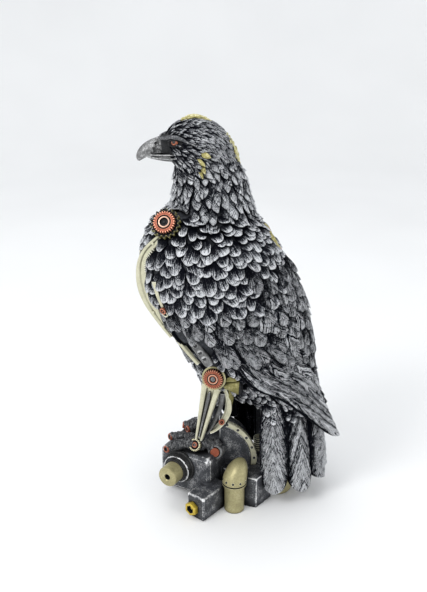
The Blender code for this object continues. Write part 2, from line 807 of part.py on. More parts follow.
def nozzle_frame():
    """The nozzle's axis on the engine's front: local Z points out of the engine."""
    return ENGINE_FRAME @ moved(x=-NOZZLE_INSET, z=NOZZLE_HEIGHT) @ FORWARD


def plug_frame():
    """The axis of the plug and its collar, with its origin in the plug's face."""
    return aligned(Vector(PLUG_FACE), Vector(PLUG_AIM))


def nozzle():
    """The brass nozzle, with its rim chamfered and a blind bore."""
    edge = 0.14 * NOZZLE_RADIUS
    far = BOSS_LENGTH + NOZZLE_LENGTH
    profile = [
        (0, BOSS_LENGTH + GAP),
        (NOZZLE_RADIUS, BOSS_LENGTH + GAP),
        (NOZZLE_RADIUS, far - edge),
        (NOZZLE_RADIUS - edge, far),
        (NOZZLE_BORE, far),
        (NOZZLE_BORE, far - NOZZLE_BORE_DEPTH),
        (0, far - NOZZLE_BORE_DEPTH),
    ]
    return placed(spun_mesh(profile), nozzle_frame())


def hex_nut():
    """The hexagonal nut on the front of the corner box, with a blind bore."""
    x = BOX_CORNER[0] - NUT_INSET
    seat = PLINTH_FRAME @ moved(x, BOX_CORNER[1], NUT_HEIGHT) @ FORWARD
    bm = bmesh.new()
    bm.from_mesh(cylinder_mesh(NUT_RADIUS, GAP, NUT_LENGTH, around=6))
    top = max(bm.faces, key=lambda face: face.calc_center_median().z)
    edge = (NUT_RADIUS - NUT_BORE) * math.cos(math.pi / 6)
    bmesh.ops.inset_individual(bm, faces=[top], thickness=edge)
    (floor,) = bmesh.ops.extrude_discrete_faces(bm, faces=[top])["faces"]
    bmesh.ops.translate(bm, verts=floor.verts, vec=(0, 0, -NUT_BORE_DEPTH))
    return placed(mesh_of(bm, "nut"), seat)


def standpipe():
    """The upright pipe."""
    seat = PLINTH_FRAME @ moved(*PIPE_CENTRE)
    return placed(cylinder_mesh(PIPE_RADIUS, 0, PIPE_HEIGHT), seat)


def pipe_dome():
    """The domed elbow on the pipe, which leans back."""
    low = PIPE_HEIGHT + GAP
    lip = 0.0022
    profile = [(0, 0), (DOME_RADIUS, 0), (DOME_RADIUS, 0.5 * lip)]
    steps = 6
    for k in range(steps):
        a = 0.5 * math.pi * k / steps
        profile.append((0.94 * DOME_RADIUS * math.cos(a), lip + (DOME_RISE - lip) * math.sin(a)))
    mesh = spun_mesh([*profile, (0, DOME_RISE)], 16)
    for vert in mesh.vertices:
        share = max(0.0, vert.co.z - lip) / (DOME_RISE - lip)
        vert.co.y += DOME_LEAN * share**1.4
    return placed(mesh, PLINTH_FRAME @ moved(*PIPE_CENTRE, low))


def rear_drum():
    """The low round drum at the back."""
    r, h, b = DRUM_RADIUS, DRUM_HEIGHT, DRUM_BEVEL
    mesh = spun_mesh([(0, 0), (r, 0), (r, h - b), (r - b, h), (0, h)], 24)
    return placed(mesh, PLINTH_FRAME @ moved(*DRUM_CENTRE))


def rim_band():
    """The flat curved band round the edge of the wheel housing."""
    inner = WHEEL_RADIUS + RIM_PROUD - RIM_WIDTH
    outer = WHEEL_RADIUS + RIM_PROUD
    near, far = HOUSING_LEFT + RIM_PROUD - RIM_THICKNESS, HOUSING_LEFT + RIM_PROUD
    corners = ((inner, near), (outer, near), (outer, far), (inner, far))
    steps = 20
    rings = []
    for k in range(steps + 1):
        a = RIM_START + (RIM_END - RIM_START) * k / steps
        y, z = math.cos(a), math.sin(a)
        rings.append([(x, WHEEL_AXIS[0] + r * y, WHEEL_AXIS[1] + r * z) for r, x in corners])
    return loft_mesh(rings)


def ribbed_coil():
    """The small upright coil on the step."""
    profile = [(0, 0)]
    pitch = COIL_HEIGHT / COIL_RIBS
    for k in range(COIL_RIBS):
        low = k * pitch
        profile.append((0.8 * COIL_RADIUS, low))
        profile.append((COIL_RADIUS, low + 0.3 * pitch))
        profile.append((COIL_RADIUS, low + 0.7 * pitch))
    profile.append((0.8 * COIL_RADIUS, COIL_HEIGHT))
    profile.append((0, COIL_HEIGHT))
    return placed(spun_mesh(profile, 10), moved(*COIL_CENTRE, STEP_HEIGHT + GAP))


def copper_plug():
    """The round plug in the collar beside the left foot."""
    return placed(cylinder_mesh(PLUG_RADIUS, -PLUG_LENGTH, 0, 20), plug_frame())


def plinth_fittings():
    """Every metal fitting on the plinth: its name, finish and mesh."""
    return [
        ("nozzle", BRASS, nozzle()),
        ("hex_nut", BRASS, hex_nut()),
        ("standpipe", BRASS, standpipe()),
        ("pipe_dome", BRASS, pipe_dome()),
        ("rear_drum", BRASS, rear_drum()),
        ("rim_band", BRASS, rim_band()),
        ("ribbed_coil", BRASS, ribbed_coil()),
        ("copper_plug", COPPER, copper_plug()),
    ]


def plinth_shapes():
    """The forms that are cast with the engine block."""
    boss = placed(cylinder_mesh(BOSS_RADIUS, -ENGINE_BEVEL, BOSS_LENGTH, 28), nozzle_frame())
    x, y = BOX_CORNER
    box = box_mesh((x - BOX_WIDTH, y, 0), (x, y + BOX_DEPTH, BOX_HEIGHT), BOX_BEVEL)
    x, y = STEP_CORNER
    cut_x, cut_y = STEP_CHAMFER
    outline = [(x, y), (x, y + STEP_DEPTH), (x - STEP_WIDTH, y + STEP_DEPTH)]
    outline += [(x - STEP_WIDTH, y - cut_y), (x - cut_x, y - cut_y)]
    step = prism_mesh(outline, 0, STEP_HEIGHT)
    x, y = REAR_CORNER
    rear = box_mesh((x - REAR_WIDTH, y - REAR_DEPTH, 0), (x, y, REAR_HEIGHT), ENGINE_BEVEL)
    collar = cylinder_mesh(COLLAR_RADIUS, -COLLAR_LENGTH, -COLLAR_SETBACK, 20)
    return {
        "boss": boss,
        "corner_box": placed(box, PLINTH_FRAME),
        "step": placed(step, PLINTH_FRAME),
        "rear_block": placed(rear, PLINTH_FRAME),
        "wheel_housing": wheel_housing(),
        "plug_collar": placed(collar, plug_frame()),
    }


def wheel_housing():
    """The quarter of a big wheel housing that stands behind the left foot."""
    y, z = WHEEL_AXIS
    top = math.acos((WHEEL_FRONT - y) / WHEEL_RADIUS)
    foot = -math.asin(min(z / WHEEL_RADIUS, 1.0))
    steps = 22
    angles = [foot + (top - foot) * k / steps for k in range(steps + 1)]
    outline = [(y + WHEEL_RADIUS * math.cos(a), z + WHEEL_RADIUS * math.sin(a)) for a in angles]
    outline.append((WHEEL_FRONT, 0))
    return placed(prism_mesh(outline, HOUSING_RIGHT, HOUSING_LEFT), UPRIGHT)


def undercut():
    """What is cut away below the engine's front, under the nozzle."""
    low = (-ENGINE_WIDTH - GAP, -GAP, -GAP)
    high = (-ENGINE_WIDTH + UNDERCUT_WIDTH, UNDERCUT_DEPTH, UNDERCUT_HEIGHT)
    return placed(box_mesh(low, high), ENGINE_FRAME)


def main():
    for obj in list(bpy.data.objects):
        bpy.data.objects.remove(obj)
    names = ("steampunk_eagle", "plinth_forms", "seats", "perch")
    parts, forms, seats, perch = (bpy.data.collections.new(name) for name in names)
    for collection in (parts, forms, seats, perch):
        bpy.context.scene.collection.children.link(collection)
    for name, finish, mesh in plinth_fittings() + eagle_fittings():
        add_part(name, mesh, finish, parts)
        add_cutter(f"{name}_seat", grown(mesh), seats)
    add_cutter("undercut", undercut(), seats)
    for name, mesh in plinth_shapes().items():
        add_cutter(name, mesh, forms)
    low, high = (-ENGINE_WIDTH, 0, 0), (0, ENGINE_DEPTH, ENGINE_HEIGHT)
    block = placed(box_mesh(low, high, ENGINE_BEVEL), ENGINE_FRAME)
    plinth = add_part("plinth", block, DARK, parts)
    add_boolean(plinth, "UNION", forms)
    add_boolean(plinth, "DIFFERENCE", seats)
    add_cutter("plinth_seat", grown(evaluated_mesh(plinth)), perch)
    eagle = add_part("eagle", one_skin(eagle_shapes(), VOXEL, EAGLE_TRIANGLES), GREY, parts)
    add_boolean(eagle, "DIFFERENCE", perch)
    add_boolean(eagle, "DIFFERENCE", seats)


main()
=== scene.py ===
"""The looks of a steampunk eagle figurine: its feathers, brass and copper fittings and cast plinth.

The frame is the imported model: +Z up, the breast faces -Y and the eagle's left wing is on +X. Lengths are
in metres.
"""

import logging
import math
import random
from collections.abc import Callable, Sequence
from dataclasses import dataclass
from enum import Enum

import bmesh
import bpy
import numpy as np
from mathutils import Matrix, Vector
from mathutils.bvhtree import BVHTree


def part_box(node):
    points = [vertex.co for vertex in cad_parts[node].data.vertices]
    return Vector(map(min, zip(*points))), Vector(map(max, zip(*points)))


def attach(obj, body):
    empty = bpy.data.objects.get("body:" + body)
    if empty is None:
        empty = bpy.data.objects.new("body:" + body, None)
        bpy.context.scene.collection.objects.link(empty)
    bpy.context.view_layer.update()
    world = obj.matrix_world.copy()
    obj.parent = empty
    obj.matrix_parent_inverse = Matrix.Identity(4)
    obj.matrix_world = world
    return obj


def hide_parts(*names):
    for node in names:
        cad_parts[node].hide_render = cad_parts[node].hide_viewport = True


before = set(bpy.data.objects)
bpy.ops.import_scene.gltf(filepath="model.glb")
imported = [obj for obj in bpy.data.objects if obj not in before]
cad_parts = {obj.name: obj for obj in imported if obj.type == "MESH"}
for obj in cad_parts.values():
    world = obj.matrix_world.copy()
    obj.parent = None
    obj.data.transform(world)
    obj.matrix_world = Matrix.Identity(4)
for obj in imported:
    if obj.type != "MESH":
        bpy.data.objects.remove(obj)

LOG = logging.getLogger("eagle")
MM = 0.001
PERCH = 39 * MM  # the height of the engine's top, which the eagle stands on
Colour = tuple[float, float, float]
Socket = bpy.types.NodeSocket
BMesh = bmesh.types.BMesh
Outline = Sequence[tuple[float, float]]  # a bar's outline, across and outward
Profile = Sequence[tuple[float, float, int]]  # radius, height and material index from the axis to the axis
UP = Vector((0, 0, 1))


class Slot(Enum):
    """The record's material slots."""

    CAST = "cast_grey"
    ENGINE = "engine_dark"
    BRASS = "brass"
    COPPER = "copper"


class Side(Enum):
    """The two sides of the eagle, as the sign of X."""

    LEFT = 1
    RIGHT = -1


def grey(level: float, warm: float = 0.0) -> Colour:
    """A linear grey, leaning to blue where warm is below 0 and to yellow above it."""
    return (level * (1 + 0.5 * warm), level * (1 + 0.2 * warm), level * (1 - 0.6 * warm))


class Graph:
    """A material and its nodes, built a line at a time."""

    def __init__(self, name: str) -> None:
        """Starts a material with an empty Principled shader."""
        self.material = bpy.data.materials.new(name)
        self.material.use_nodes = True
        self.tree = self.material.node_tree
        self.tree.nodes.clear()
        self.shader = self.node("BsdfPrincipled")
        self.node("OutputMaterial", Surface=self.shader.outputs["BSDF"])
        self.place = self.node("TexCoord").outputs["Object"]

    def node(self, kind: str, **inputs: Socket | float | Colour) -> bpy.types.Node:
        """A new node with some of its inputs fed, which are named with underscores for spaces."""
        made = self.tree.nodes.new(f"ShaderNode{kind}")
        for name, value in inputs.items():
            self.feed(made.inputs[name.replace("_", " ")], value)
        return made

    def paint(self, **inputs: Socket | float | Colour) -> None:
        """Feeds inputs of the shader, named in the same way."""
        for name, value in inputs.items():
            self.feed(self.shader.inputs[name.replace("_", " ")], value)

    def feed(self, socket: Socket, value: Socket | float | Colour) -> None:
        """Links a socket into another, or sets it to a constant."""
        if isinstance(value, bpy.types.NodeSocket):
            self.tree.links.new(value, socket)
        else:
            socket.default_value = value

    def value(self, operation: str, first: Socket | float, second: Socket | float = 0.0) -> Socket:
        """The result of a Math node."""
        node = self.node("Math")
        node.operation = operation
        self.feed(node.inputs[0], first)
        self.feed(node.inputs[1], second)
        return node.outputs[0]

    def total(self, *terms: tuple[Socket, float]) -> Socket:
        """A weighted sum of sockets.

        Args:
            terms: each socket with its weight.

        Returns:
            The sum's socket.
        """
        result: Socket | float = 0.0
        for socket, weight in terms:
            result = self.value("ADD", result, self.value("MULTIPLY", socket, weight))
        return result

    def step(self, value: Socket, low: float, high: float) -> Socket:
        """A smooth step of the value from 0 at low to 1 at high."""
        node = self.node("MapRange", Value=value, From_Min=low, From_Max=high)
        node.interpolation_type = "SMOOTHSTEP"
        return node.outputs["Result"]

    def noise(self, scale: float, detail: float = 3.0, rough: float = 0.55) -> Socket:
        """A noise over the piece, in features of about 1 / scale metres."""
        node = self.node("TexNoise", Vector=self.place, Scale=scale, Detail=detail, Roughness=rough)
        return node.outputs["Fac"]

    def attribute(self, name: str) -> Socket:
        """A number that the mesh carries at each point."""
        node = self.node("Attribute")
        node.attribute_name = name
        return node.outputs["Fac"]

    def across(self) -> Socket:
        """The first coordinate of the piece's own UV map, which counts barbs."""
        node = self.node("UVMap")
        node.uv_map = "barbs"
        return self.node("SeparateXYZ", Vector=node.outputs["UV"]).outputs["X"]

    def streak(self, phase: Socket, seed: Socket, fine: float) -> Socket:
        """Uneven lines at even steps of the phase, different for each seed."""
        apart = 37.0  # how far from each other two seeds lie in the noise
        along = self.value("MULTIPLY", phase, fine)
        place = self.node("CombineXYZ", X=along, Y=self.value("MULTIPLY", seed, apart)).outputs["Vector"]
        node = self.node("TexNoise", Scale=1.0, Detail=3.0, Roughness=0.7)
        node.noise_dimensions = "2D"
        self.feed(node.inputs["Vector"], place)
        return self.step(node.outputs["Fac"], 0.34, 0.66)

    def hollow(self, reach: float, inside: bool = False) -> Socket:
        """How open the surface is within reach, from 0 deep in a hollow, or at an edge if inside, to 1."""
        node = self.node("AmbientOcclusion", Distance=reach)
        node.samples = 8
        node.inside = inside
        node.only_local = inside
        return node.outputs["AO"]

    def bend(self) -> Socket:
        """How sharply the surface bends, above a half on edges and below it in creases."""
        return self.node("NewGeometry").outputs["Pointiness"]

    def ramp(self, value: Socket, *stops: tuple[float, Colour]) -> Socket:
        """A colour ramp of the value."""
        node = self.node("ValToRGB", Fac=value)
        elements = node.color_ramp.elements
        while len(elements) < len(stops):
            elements.new(0.5)
        for element, (position, colour) in zip(elements, stops):
            element.position = position
            element.color = (*colour, 1.0)
        return node.outputs["Color"]

    def between(self, share: Socket, low: float, high: float) -> Socket:
        """A number from low to high as share goes from 0 to 1."""
        return self.node("MapRange", Value=share, To_Min=low, To_Max=high).outputs["Result"]

    def relief(self, height: Socket, depth: float) -> None:
        """Bump from a height of 0 to 1, which stands for depth metres."""
        self.paint(Normal=self.node("Bump", Strength=1.0, Distance=depth, Height=height).outputs["Normal"])


@dataclass(frozen=True)
class FeatherPaint:
    """Silver rubbed over near-black, in streaks that follow each feather's barbs."""

    name: str = "rubbed_silver_feathers"
    slot: Slot = Slot.CAST
    deep: Colour = (0.003, 0.0035, 0.006)
    dark: Colour = (0.011, 0.012, 0.018)
    body: Colour = (0.070, 0.074, 0.085)
    light: Colour = (0.26, 0.27, 0.29)
    worn: Colour = (0.68, 0.69, 0.71)
    depth: float = 0.34 * MM
    gain: float = -0.11
    wander: float = 1.6
    wave: float = 300.0
    order: float = 0.5
    fine: float = 1.7
    patches: float = 0.95
    barbs: float = 0.95

    def build(self) -> bpy.types.Material:
        """Builds the material."""
        graph = Graph(self.name)
        shade = graph.attribute("shade")
        wobble = graph.value("MULTIPLY", graph.noise(self.wave, 2.0), self.wander)
        phase = graph.value("ADD", graph.across(), wobble)
        wave = graph.value("SINE", graph.value("MULTIPLY", phase, 2 * math.pi))
        streak = graph.streak(phase, shade, self.fine)
        barb = graph.total((graph.between(wave, 0.5, 1.0), self.order), (streak, 1 - self.order))
        grain = graph.noise(1500.0, 5.0, 0.70)
        patch = graph.noise(300.0, 3.0)
        # wear and painted shade carried by the mesh: bright rubbed rims, dark covered roots, undersides and edges
        wear_and_shade = graph.attribute("wear_and_shade")
        terms = ((wear_and_shade, 1.30), (barb, self.barbs), (grain, 2.20), (patch, self.patches), (shade, 0.30))
        rubbed = graph.value("SUBTRACT", graph.total(*terms), 1.755 + 0.5 * self.patches - self.gain)
        # Darker in hollows and under neighbouring feathers: partly the real black base coat left in the hollows,
        # partly painted shade.
        rubbed = graph.value("MULTIPLY", rubbed, graph.step(graph.hollow(3.2 * MM), 0.52, 1.0))
        stops = ((0.08, self.deep), (0.27, self.dark), (0.44, self.body), (0.60, self.light))
        graph.paint(
            Base_Color=graph.ramp(rubbed, *stops, (0.80, self.worn)),
            Metallic=graph.between(rubbed, 0.0, 0.45),
            Roughness=graph.between(rubbed, 0.60, 0.36),
            Specular_IOR_Level=graph.between(rubbed, 0.02, 0.6),
        )
        graph.relief(graph.total((barb, 0.75), (grain, 0.65), (patch, 0.25)), self.depth)
        return graph.material


@dataclass(frozen=True)
class CastMetal:
    """Painted or plated metal, rubbed bright on its edges, and darkened in its hollows by grime and by painted
    shade.
    """

    name: str
    slot: Slot
    deep: Colour
    body: Colour
    worn: Colour
    metallic: float = 0.85
    roughness: float = 0.38
    grain: float = 900.0
    mottle: float = 160.0
    edge_reach: float = 0.7 * MM
    grime_and_shade_reach: float = 3.0 * MM
    dirt: float = 0.5
    edge: float = 0.6
    depth: float = 0.10 * MM
    cast: bool = False

    def build(self) -> bpy.types.Material:
        """Builds the material."""
        graph = Graph(self.name)
        grain = graph.noise(self.grain, 4.0, 0.62)
        mottle = graph.noise(self.mottle, 3.0)
        if self.cast:
            edge = graph.step(graph.bend(), 0.512, 0.56)
        else:
            edge = graph.value("SUBTRACT", 1.0, graph.step(graph.hollow(self.edge_reach, True), 0.45, 0.95))
        # Darker in hollows and where other parts close round it: partly grime in the real recesses, partly painted
        # shade.
        grime_and_shade_factor = graph.step(graph.hollow(self.grime_and_shade_reach), 0.25, 0.92)
        level = graph.total((grain, 0.8 * self.dirt), (mottle, 0.7 * self.dirt), (edge, self.edge))
        level = graph.value("ADD", graph.value("SUBTRACT", level, 0.75 * self.dirt), 0.5)
        level = graph.value("MULTIPLY", level, grime_and_shade_factor)
        stops = ((0.0, self.deep), (0.52, self.body), (1.0, self.worn))
        graph.paint(
            Base_Color=graph.ramp(level, *stops),
            Roughness=graph.between(level, self.roughness + 0.22, self.roughness),
            Specular_IOR_Level=graph.between(level, 0.10, 0.55),
            Metallic=graph.between(level, 0.2 * self.metallic, self.metallic),
        )
        graph.relief(graph.total((grain, 0.6), (mottle, 0.8)), self.depth)
        return graph.material


@dataclass(frozen=True)
class Glass:
    """The polished orange eye."""

    name: str = "orange_eye"
    slot: Slot = Slot.COPPER

    def build(self) -> bpy.types.Material:
        """Builds the material."""
        graph = Graph(self.name)
        fleck = graph.noise(1400.0, 2.0)
        stops = ((0.3, (0.24, 0.05, 0.02)), (0.7, (0.78, 0.24, 0.11)))
        graph.paint(Base_Color=graph.ramp(fleck, *stops), Roughness=0.18, Coat_Weight=0.6)
        return graph.material


Finish = FeatherPaint | CastMetal | Glass


class Finishes:
    """Every finish of the figurine, with its material built once."""

    FEATHERS = FeatherPaint()
    HACKLES = FeatherPaint(name="rubbed_silver_hackles", gain=0.18, order=0.2)
    FLIGHT = FeatherPaint(
        name="rubbed_silver_flight", gain=-0.50, depth=0.50 * MM, wander=2.2, wave=200.0, order=0.0,
        barbs=1.30, fine=4.0, patches=1.9,
    )
    SHADOW = CastMetal(
        "shadow_under_feathers", Slot.CAST, grey(0.004, -0.3), grey(0.022, -0.3), grey(0.10, -0.2),
        metallic=0.1, roughness=0.6, dirt=0.9, edge=0.2, depth=0.5 * MM, mottle=500.0,
    )
    HORN = CastMetal(
        "rubbed_beak", Slot.CAST, grey(0.012, -0.1), grey(0.20), grey(0.74),
        metallic=0.55, roughness=0.36, dirt=1.3, edge=0.15, edge_reach=0.8 * MM, depth=0.12 * MM,
        mottle=260.0,
    )
    CERE = CastMetal(
        "beak_root", Slot.CAST, grey(0.004), grey(0.045), grey(0.40),
        metallic=0.3, roughness=0.42, dirt=1.5, edge=0.1,
    )
    SKIN = CastMetal(
        "rubbed_toes", Slot.CAST, grey(0.004, -0.2), grey(0.050, -0.1), grey(0.42),
        metallic=0.35, roughness=0.45, dirt=1.2, edge=0.1, depth=0.4 * MM, grain=1300.0, mottle=500.0,
    )
    ENGINE = CastMetal(
        "worn_engine", Slot.ENGINE, grey(0.004, -0.2), grey(0.075, -0.15), grey(0.78),
        metallic=0.40, roughness=0.42, dirt=1.2, edge=1.45, edge_reach=2.0 * MM, grime_and_shade_reach=8 * MM,
        depth=0.3 * MM, grain=1100.0, mottle=160.0, cast=True,
    )
    BRASS = CastMetal(
        "aged_brass", Slot.BRASS, (0.030, 0.026, 0.012), (0.40, 0.36, 0.19), (0.84, 0.79, 0.56),
        metallic=0.82, roughness=0.30, dirt=0.55, edge=0.55, depth=0.10 * MM,
    )
    PALE_BRASS = CastMetal(
        "pale_brass", Slot.BRASS, (0.050, 0.046, 0.028), (0.60, 0.58, 0.42), (0.95, 0.94, 0.82),
        metallic=0.70, roughness=0.32, dirt=0.45, edge=0.5, depth=0.10 * MM,
    )
    GILT = CastMetal(
        "rough_gilt", Slot.BRASS, (0.06, 0.045, 0.012), (0.46, 0.41, 0.15), (0.92, 0.88, 0.60),
        metallic=0.55, roughness=0.42, dirt=1.3, edge=0.3, depth=0.8 * MM, grain=900.0, mottle=420.0,
    )
    COPPER = CastMetal(
        "bright_copper", Slot.COPPER, (0.06, 0.016, 0.008), (0.27, 0.070, 0.036), (0.76, 0.34, 0.22),
        metallic=0.70, roughness=0.34, dirt=0.5, edge=0.5, grime_and_shade_reach=1.6 * MM, depth=0.06 * MM,
    )
    RIDGE = CastMetal(
        "rubbed_brow", Slot.CAST, grey(0.004, -0.3), grey(0.09, -0.1), grey(0.62),
        metallic=0.5, roughness=0.42, dirt=1.3, edge=0.3, depth=0.5 * MM, grain=900.0, mottle=520.0,
    )
    STEEL = CastMetal(
        "dull_steel", Slot.ENGINE, grey(0.006, -0.1), grey(0.14), grey(0.50),
        metallic=0.7, roughness=0.34, dirt=0.8, edge=0.7, grime_and_shade_reach=2.4 * MM, depth=0.1 * MM,
    )
    DARK_STEEL = CastMetal(
        "dark_steel", Slot.ENGINE, grey(0.003, -0.1), grey(0.022), grey(0.30),
        metallic=0.5, roughness=0.38, dirt=0.7, edge=0.3, edge_reach=0.5 * MM, grime_and_shade_reach=2.4 * MM,
    )
    OLIVE = CastMetal(
        "olive_brass", Slot.BRASS, (0.014, 0.012, 0.003), (0.21, 0.19, 0.065), (0.60, 0.56, 0.30),
        metallic=0.7, roughness=0.40, dirt=0.8, edge=0.4, depth=0.14 * MM,
    )
    YELLOW = CastMetal(
        "yellow_brass", Slot.BRASS, (0.05, 0.03, 0.004), (0.58, 0.42, 0.05), (0.92, 0.80, 0.30),
        metallic=0.85, roughness=0.28, dirt=0.5, edge=0.4, depth=0.08 * MM,
    )
    PALE_COPPER = CastMetal(
        "pale_copper", Slot.COPPER, (0.08, 0.03, 0.02), (0.60, 0.33, 0.22), (0.90, 0.66, 0.54),
        metallic=0.6, roughness=0.34, dirt=0.5, edge=0.4, depth=0.06 * MM,
    )
    # Near-black. It is painted shade in holes, bores, grooves and recesses, between the beaks, on the lore and
    # round the eyes. It is also the real black paint of the pupils.
    BLACK_PAINT_AND_SHADE = CastMetal(
        "black_paint_and_painted_shade", Slot.ENGINE, grey(0.002), grey(0.010, -0.2), grey(0.05),
        metallic=0.2, roughness=0.5, dirt=0.8, edge=0.3, depth=0.1 * MM,
    )
    EYE = Glass()
    made: dict[str, bpy.types.Material] = {}

    @classmethod
    def material(cls, finish: Finish) -> bpy.types.Material:
        """The material of a finish."""
        if finish.name not in cls.made:
            cls.made[finish.name] = finish.build()
        return cls.made[finish.name]


def finish_piece(
    name: str, bm: BMesh, finishes: Sequence[Finish], nodes: Sequence[str] = (), crease: float = 35.0
) -> bpy.types.Object:
    """Turns a bmesh into a finished piece of the figurine.

    Args:
        name: the piece's name.
        bm: its shape, which is used up.
        finishes: the finishes that its faces' material indices choose among.
        nodes: the frame's nodes that it stands for, which is the one of its own name if none are given.
        crease: the angle in degrees past which an edge is shaded sharp.

    Returns:
        The new object.
    """
    bmesh.ops.recalc_face_normals(bm, faces=bm.faces)
    mesh = bpy.data.meshes.new(name)
    bm.to_mesh(mesh)
    bm.free()
    return finish_mesh(name, mesh, finishes, nodes or (name,), crease)


def finish_mesh(
    name: str, mesh: bpy.types.Mesh, finishes: Sequence[Finish], nodes: Sequence[str], crease: float
) -> bpy.types.Object:
    """The same for a shape that is a mesh already."""
    mesh.shade_smooth()
    mesh.set_sharp_from_angle(angle=math.radians(crease))
    for finish in finishes:
        mesh.materials.append(Finishes.material(finish))
    obj = bpy.data.objects.new(name, mesh)
    bpy.context.scene.collection.objects.link(obj)
    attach(obj, "root")
    if nodes:
        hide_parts(*nodes)
    LOG.info("%s: %d faces", name, len(mesh.polygons))
    return obj


def units(x: float, y: float, height: float) -> Vector:
    """A point from millimetres, with its height above the perch."""
    return Vector((x * MM, y * MM, PERCH + height * MM))


def row_point(x: float, y: float, z: float) -> Vector:
    """A point from millimetres, with its height above the ground."""
    return Vector((x * MM, y * MM, z * MM))


def turned(angle: float, axis: str = "Z") -> Matrix:
    """A turn about one axis."""
    return Matrix.Rotation(angle, 4, axis)


def moved(x: float = 0.0, y: float = 0.0, z: float = 0.0) -> Matrix:
    """A shift."""
    return Matrix.Translation((x, y, z))


def aligned(point: Vector, outward: Vector, upward: Vector = Vector((0, 0, 1))) -> Matrix:
    """A frame at point, with its local Z along outward and its local Y as near upward as can be."""
    z = Vector(outward).normalized()
    x = Vector(upward).cross(z).normalized()
    made = Matrix((x, z.cross(x), z)).transposed().to_4x4()
    made.translation = Vector(point)
    return made


def ease(low: float, high: float, value: float) -> float:
    """A smooth step from 0 at low to 1 at high."""
    t = min(max((value - low) / (high - low), 0.0), 1.0)
    return t * t * (3 - 2 * t)


def catmull(a: Vector, b: Vector, c: Vector, d: Vector, t: float) -> Vector:
    """A point between b and c on a smooth curve through four."""
    return b + 0.5 * t * (c - a + t * (2 * a - 5 * b + 4 * c - d + t * (3 * (b - c) + d - a)))


def spaced(points: Sequence[Vector], count: int) -> list[Vector]:
    """That many points along a smooth curve through the given ones."""
    last = len(points) - 1
    found = []
    for k in range(count):
        place = last * k / (count - 1)
        i = min(int(place), last - 1)
        around = [points[min(max(i + j, 0), last)] for j in (-1, 0, 1, 2)]
        found.append(catmull(*around, place - i))
    return found


@dataclass(frozen=True)
class Form:
    """A lofted form of the eagle: rows of height above the perch, front, back and half width."""

    rows: tuple[tuple[float, float, float, float], ...]
    power: float

    def section(self, height: float) -> Vector:
        """The front, back and half width at a height."""
        keys = [row[0] for row in self.rows]
        height = min(max(height, keys[0]), keys[-1])
        i = max(k for k in range(len(keys) - 1) if keys[k] <= height)
        around = [Vector(self.rows[min(max(i + j, 0), len(keys) - 1)][1:]) for j in (-1, 0, 1, 2)]
        return catmull(*around, (height - keys[i]) / (keys[i + 1] - keys[i]))

    def point(self, degrees: float, height: float) -> Vector:
        """A point on the form, with 0 degrees in front and 90 on the left."""
        front, back, half = self.section(height)
        c, s = math.cos(math.radians(degrees)), math.sin(math.radians(degrees))
        reach = (abs(c) ** self.power + abs(s) ** self.power) ** (-1 / self.power)
        return units(half * s * reach, (front + back) / 2 - (back - front) / 2 * c * reach, height)

    def spot(self, degrees: float, height: float, out: float = 0.0) -> tuple[Vector, Vector]:
        """A point out millimetres proud of the form, and the form's outward direction there."""
        here = self.point(degrees, height)
        around = self.point(degrees + 1.0, height) - here
        upward = self.point(degrees, height + 1) - self.point(degrees, height - 1)
        normal = around.cross(upward).normalized()
        return here + normal * out * MM, normal


TRUNK = Form(
    (
        (32, 29, 51, 7), (39, 15, 58, 17), (49, 0, 64, 24), (61, -12, 68, 31), (76, -20, 68, 37),
        (91, -28.5, 66, 41), (106, -37, 62, 44), (121, -45, 57, 46), (136, -48.5, 50, 47),
        (151, -48.5, 42, 46), (164, -44, 34.5, 43), (173, -36, 27.5, 35), (183, -26, 24, 24),
    ),
    2.25,
)
HEAD = Form(
    (
        (156, -19, 14, 24), (166, -26, 22.5, 31), (175, -27, 24.5, 29.5), (183, -25.5, 23, 26.5),
        (193, -24.5, 21.5, 23.5), (203, -24.5, 18.5, 21.5), (211, -29, 17, 21), (219, -35, 14.5, 20.5),
        (226, -33, 11, 18.5), (232, -29, 5, 15), (236.5, -23, -1, 10.5), (239, -16, -8, 4),
    ),
    2.1,
)


def lathe(bm: BMesh, profile: Profile, seat: Matrix, around: int = 32, scale: float = MM) -> None:
    """Adds a solid of revolution about the seat's Z.

    Args:
        bm: what it is added to.
        profile: its profile.
        seat: the frame that it stands in.
        around: how many faces it has round.
        scale: the length that 1 in the profile stands for.
    """
    part = bmesh.new()
    verts = [part.verts.new((radius * scale, 0, height * scale)) for radius, height, _ in profile]
    edges = [part.edges.new(pair) for pair in zip(verts, verts[1:])]
    for index in range(len(edges)):
        before = len(part.faces)
        bmesh.ops.spin(
            part, geom=[edges[index]], cent=(0, 0, 0), axis=UP, angle=2 * math.pi, steps=around, use_merge=True
        )
        part.faces.ensure_lookup_table()
        for face in part.faces[before:]:
            face.material_index = profile[index + 1][2]
    bmesh.ops.remove_doubles(part, verts=part.verts, dist=1e-6)
    bmesh.ops.dissolve_degenerate(part, dist=1e-7, edges=part.edges)
    bmesh.ops.transform(part, matrix=seat, verts=part.verts)
    join(bm, part)


def turn_piece(
    name: str,
    profile: Profile,
    seat: Matrix,
    around: int,
    finishes: Sequence[Finish],
    nodes: Sequence[str] = (),
) -> None:
    """Makes a piece that is one solid of revolution."""
    bm = bmesh.new()
    lathe(bm, profile, seat, around)
    finish_piece(name, bm, finishes, nodes)


def join(bm: BMesh, part: BMesh) -> None:
    """Adds one bmesh to another and frees it."""
    bmesh.ops.recalc_face_normals(part, faces=part.faces)
    mesh = bpy.data.meshes.new("part")
    part.to_mesh(mesh)
    part.free()
    bm.from_mesh(mesh)
    bpy.data.meshes.remove(mesh)


def each(value: float | Vector | Sequence, count: int) -> Sequence:
    """The value for every point, where one stands for all."""
    return [value] * count if isinstance(value, (int, float, Vector)) else value


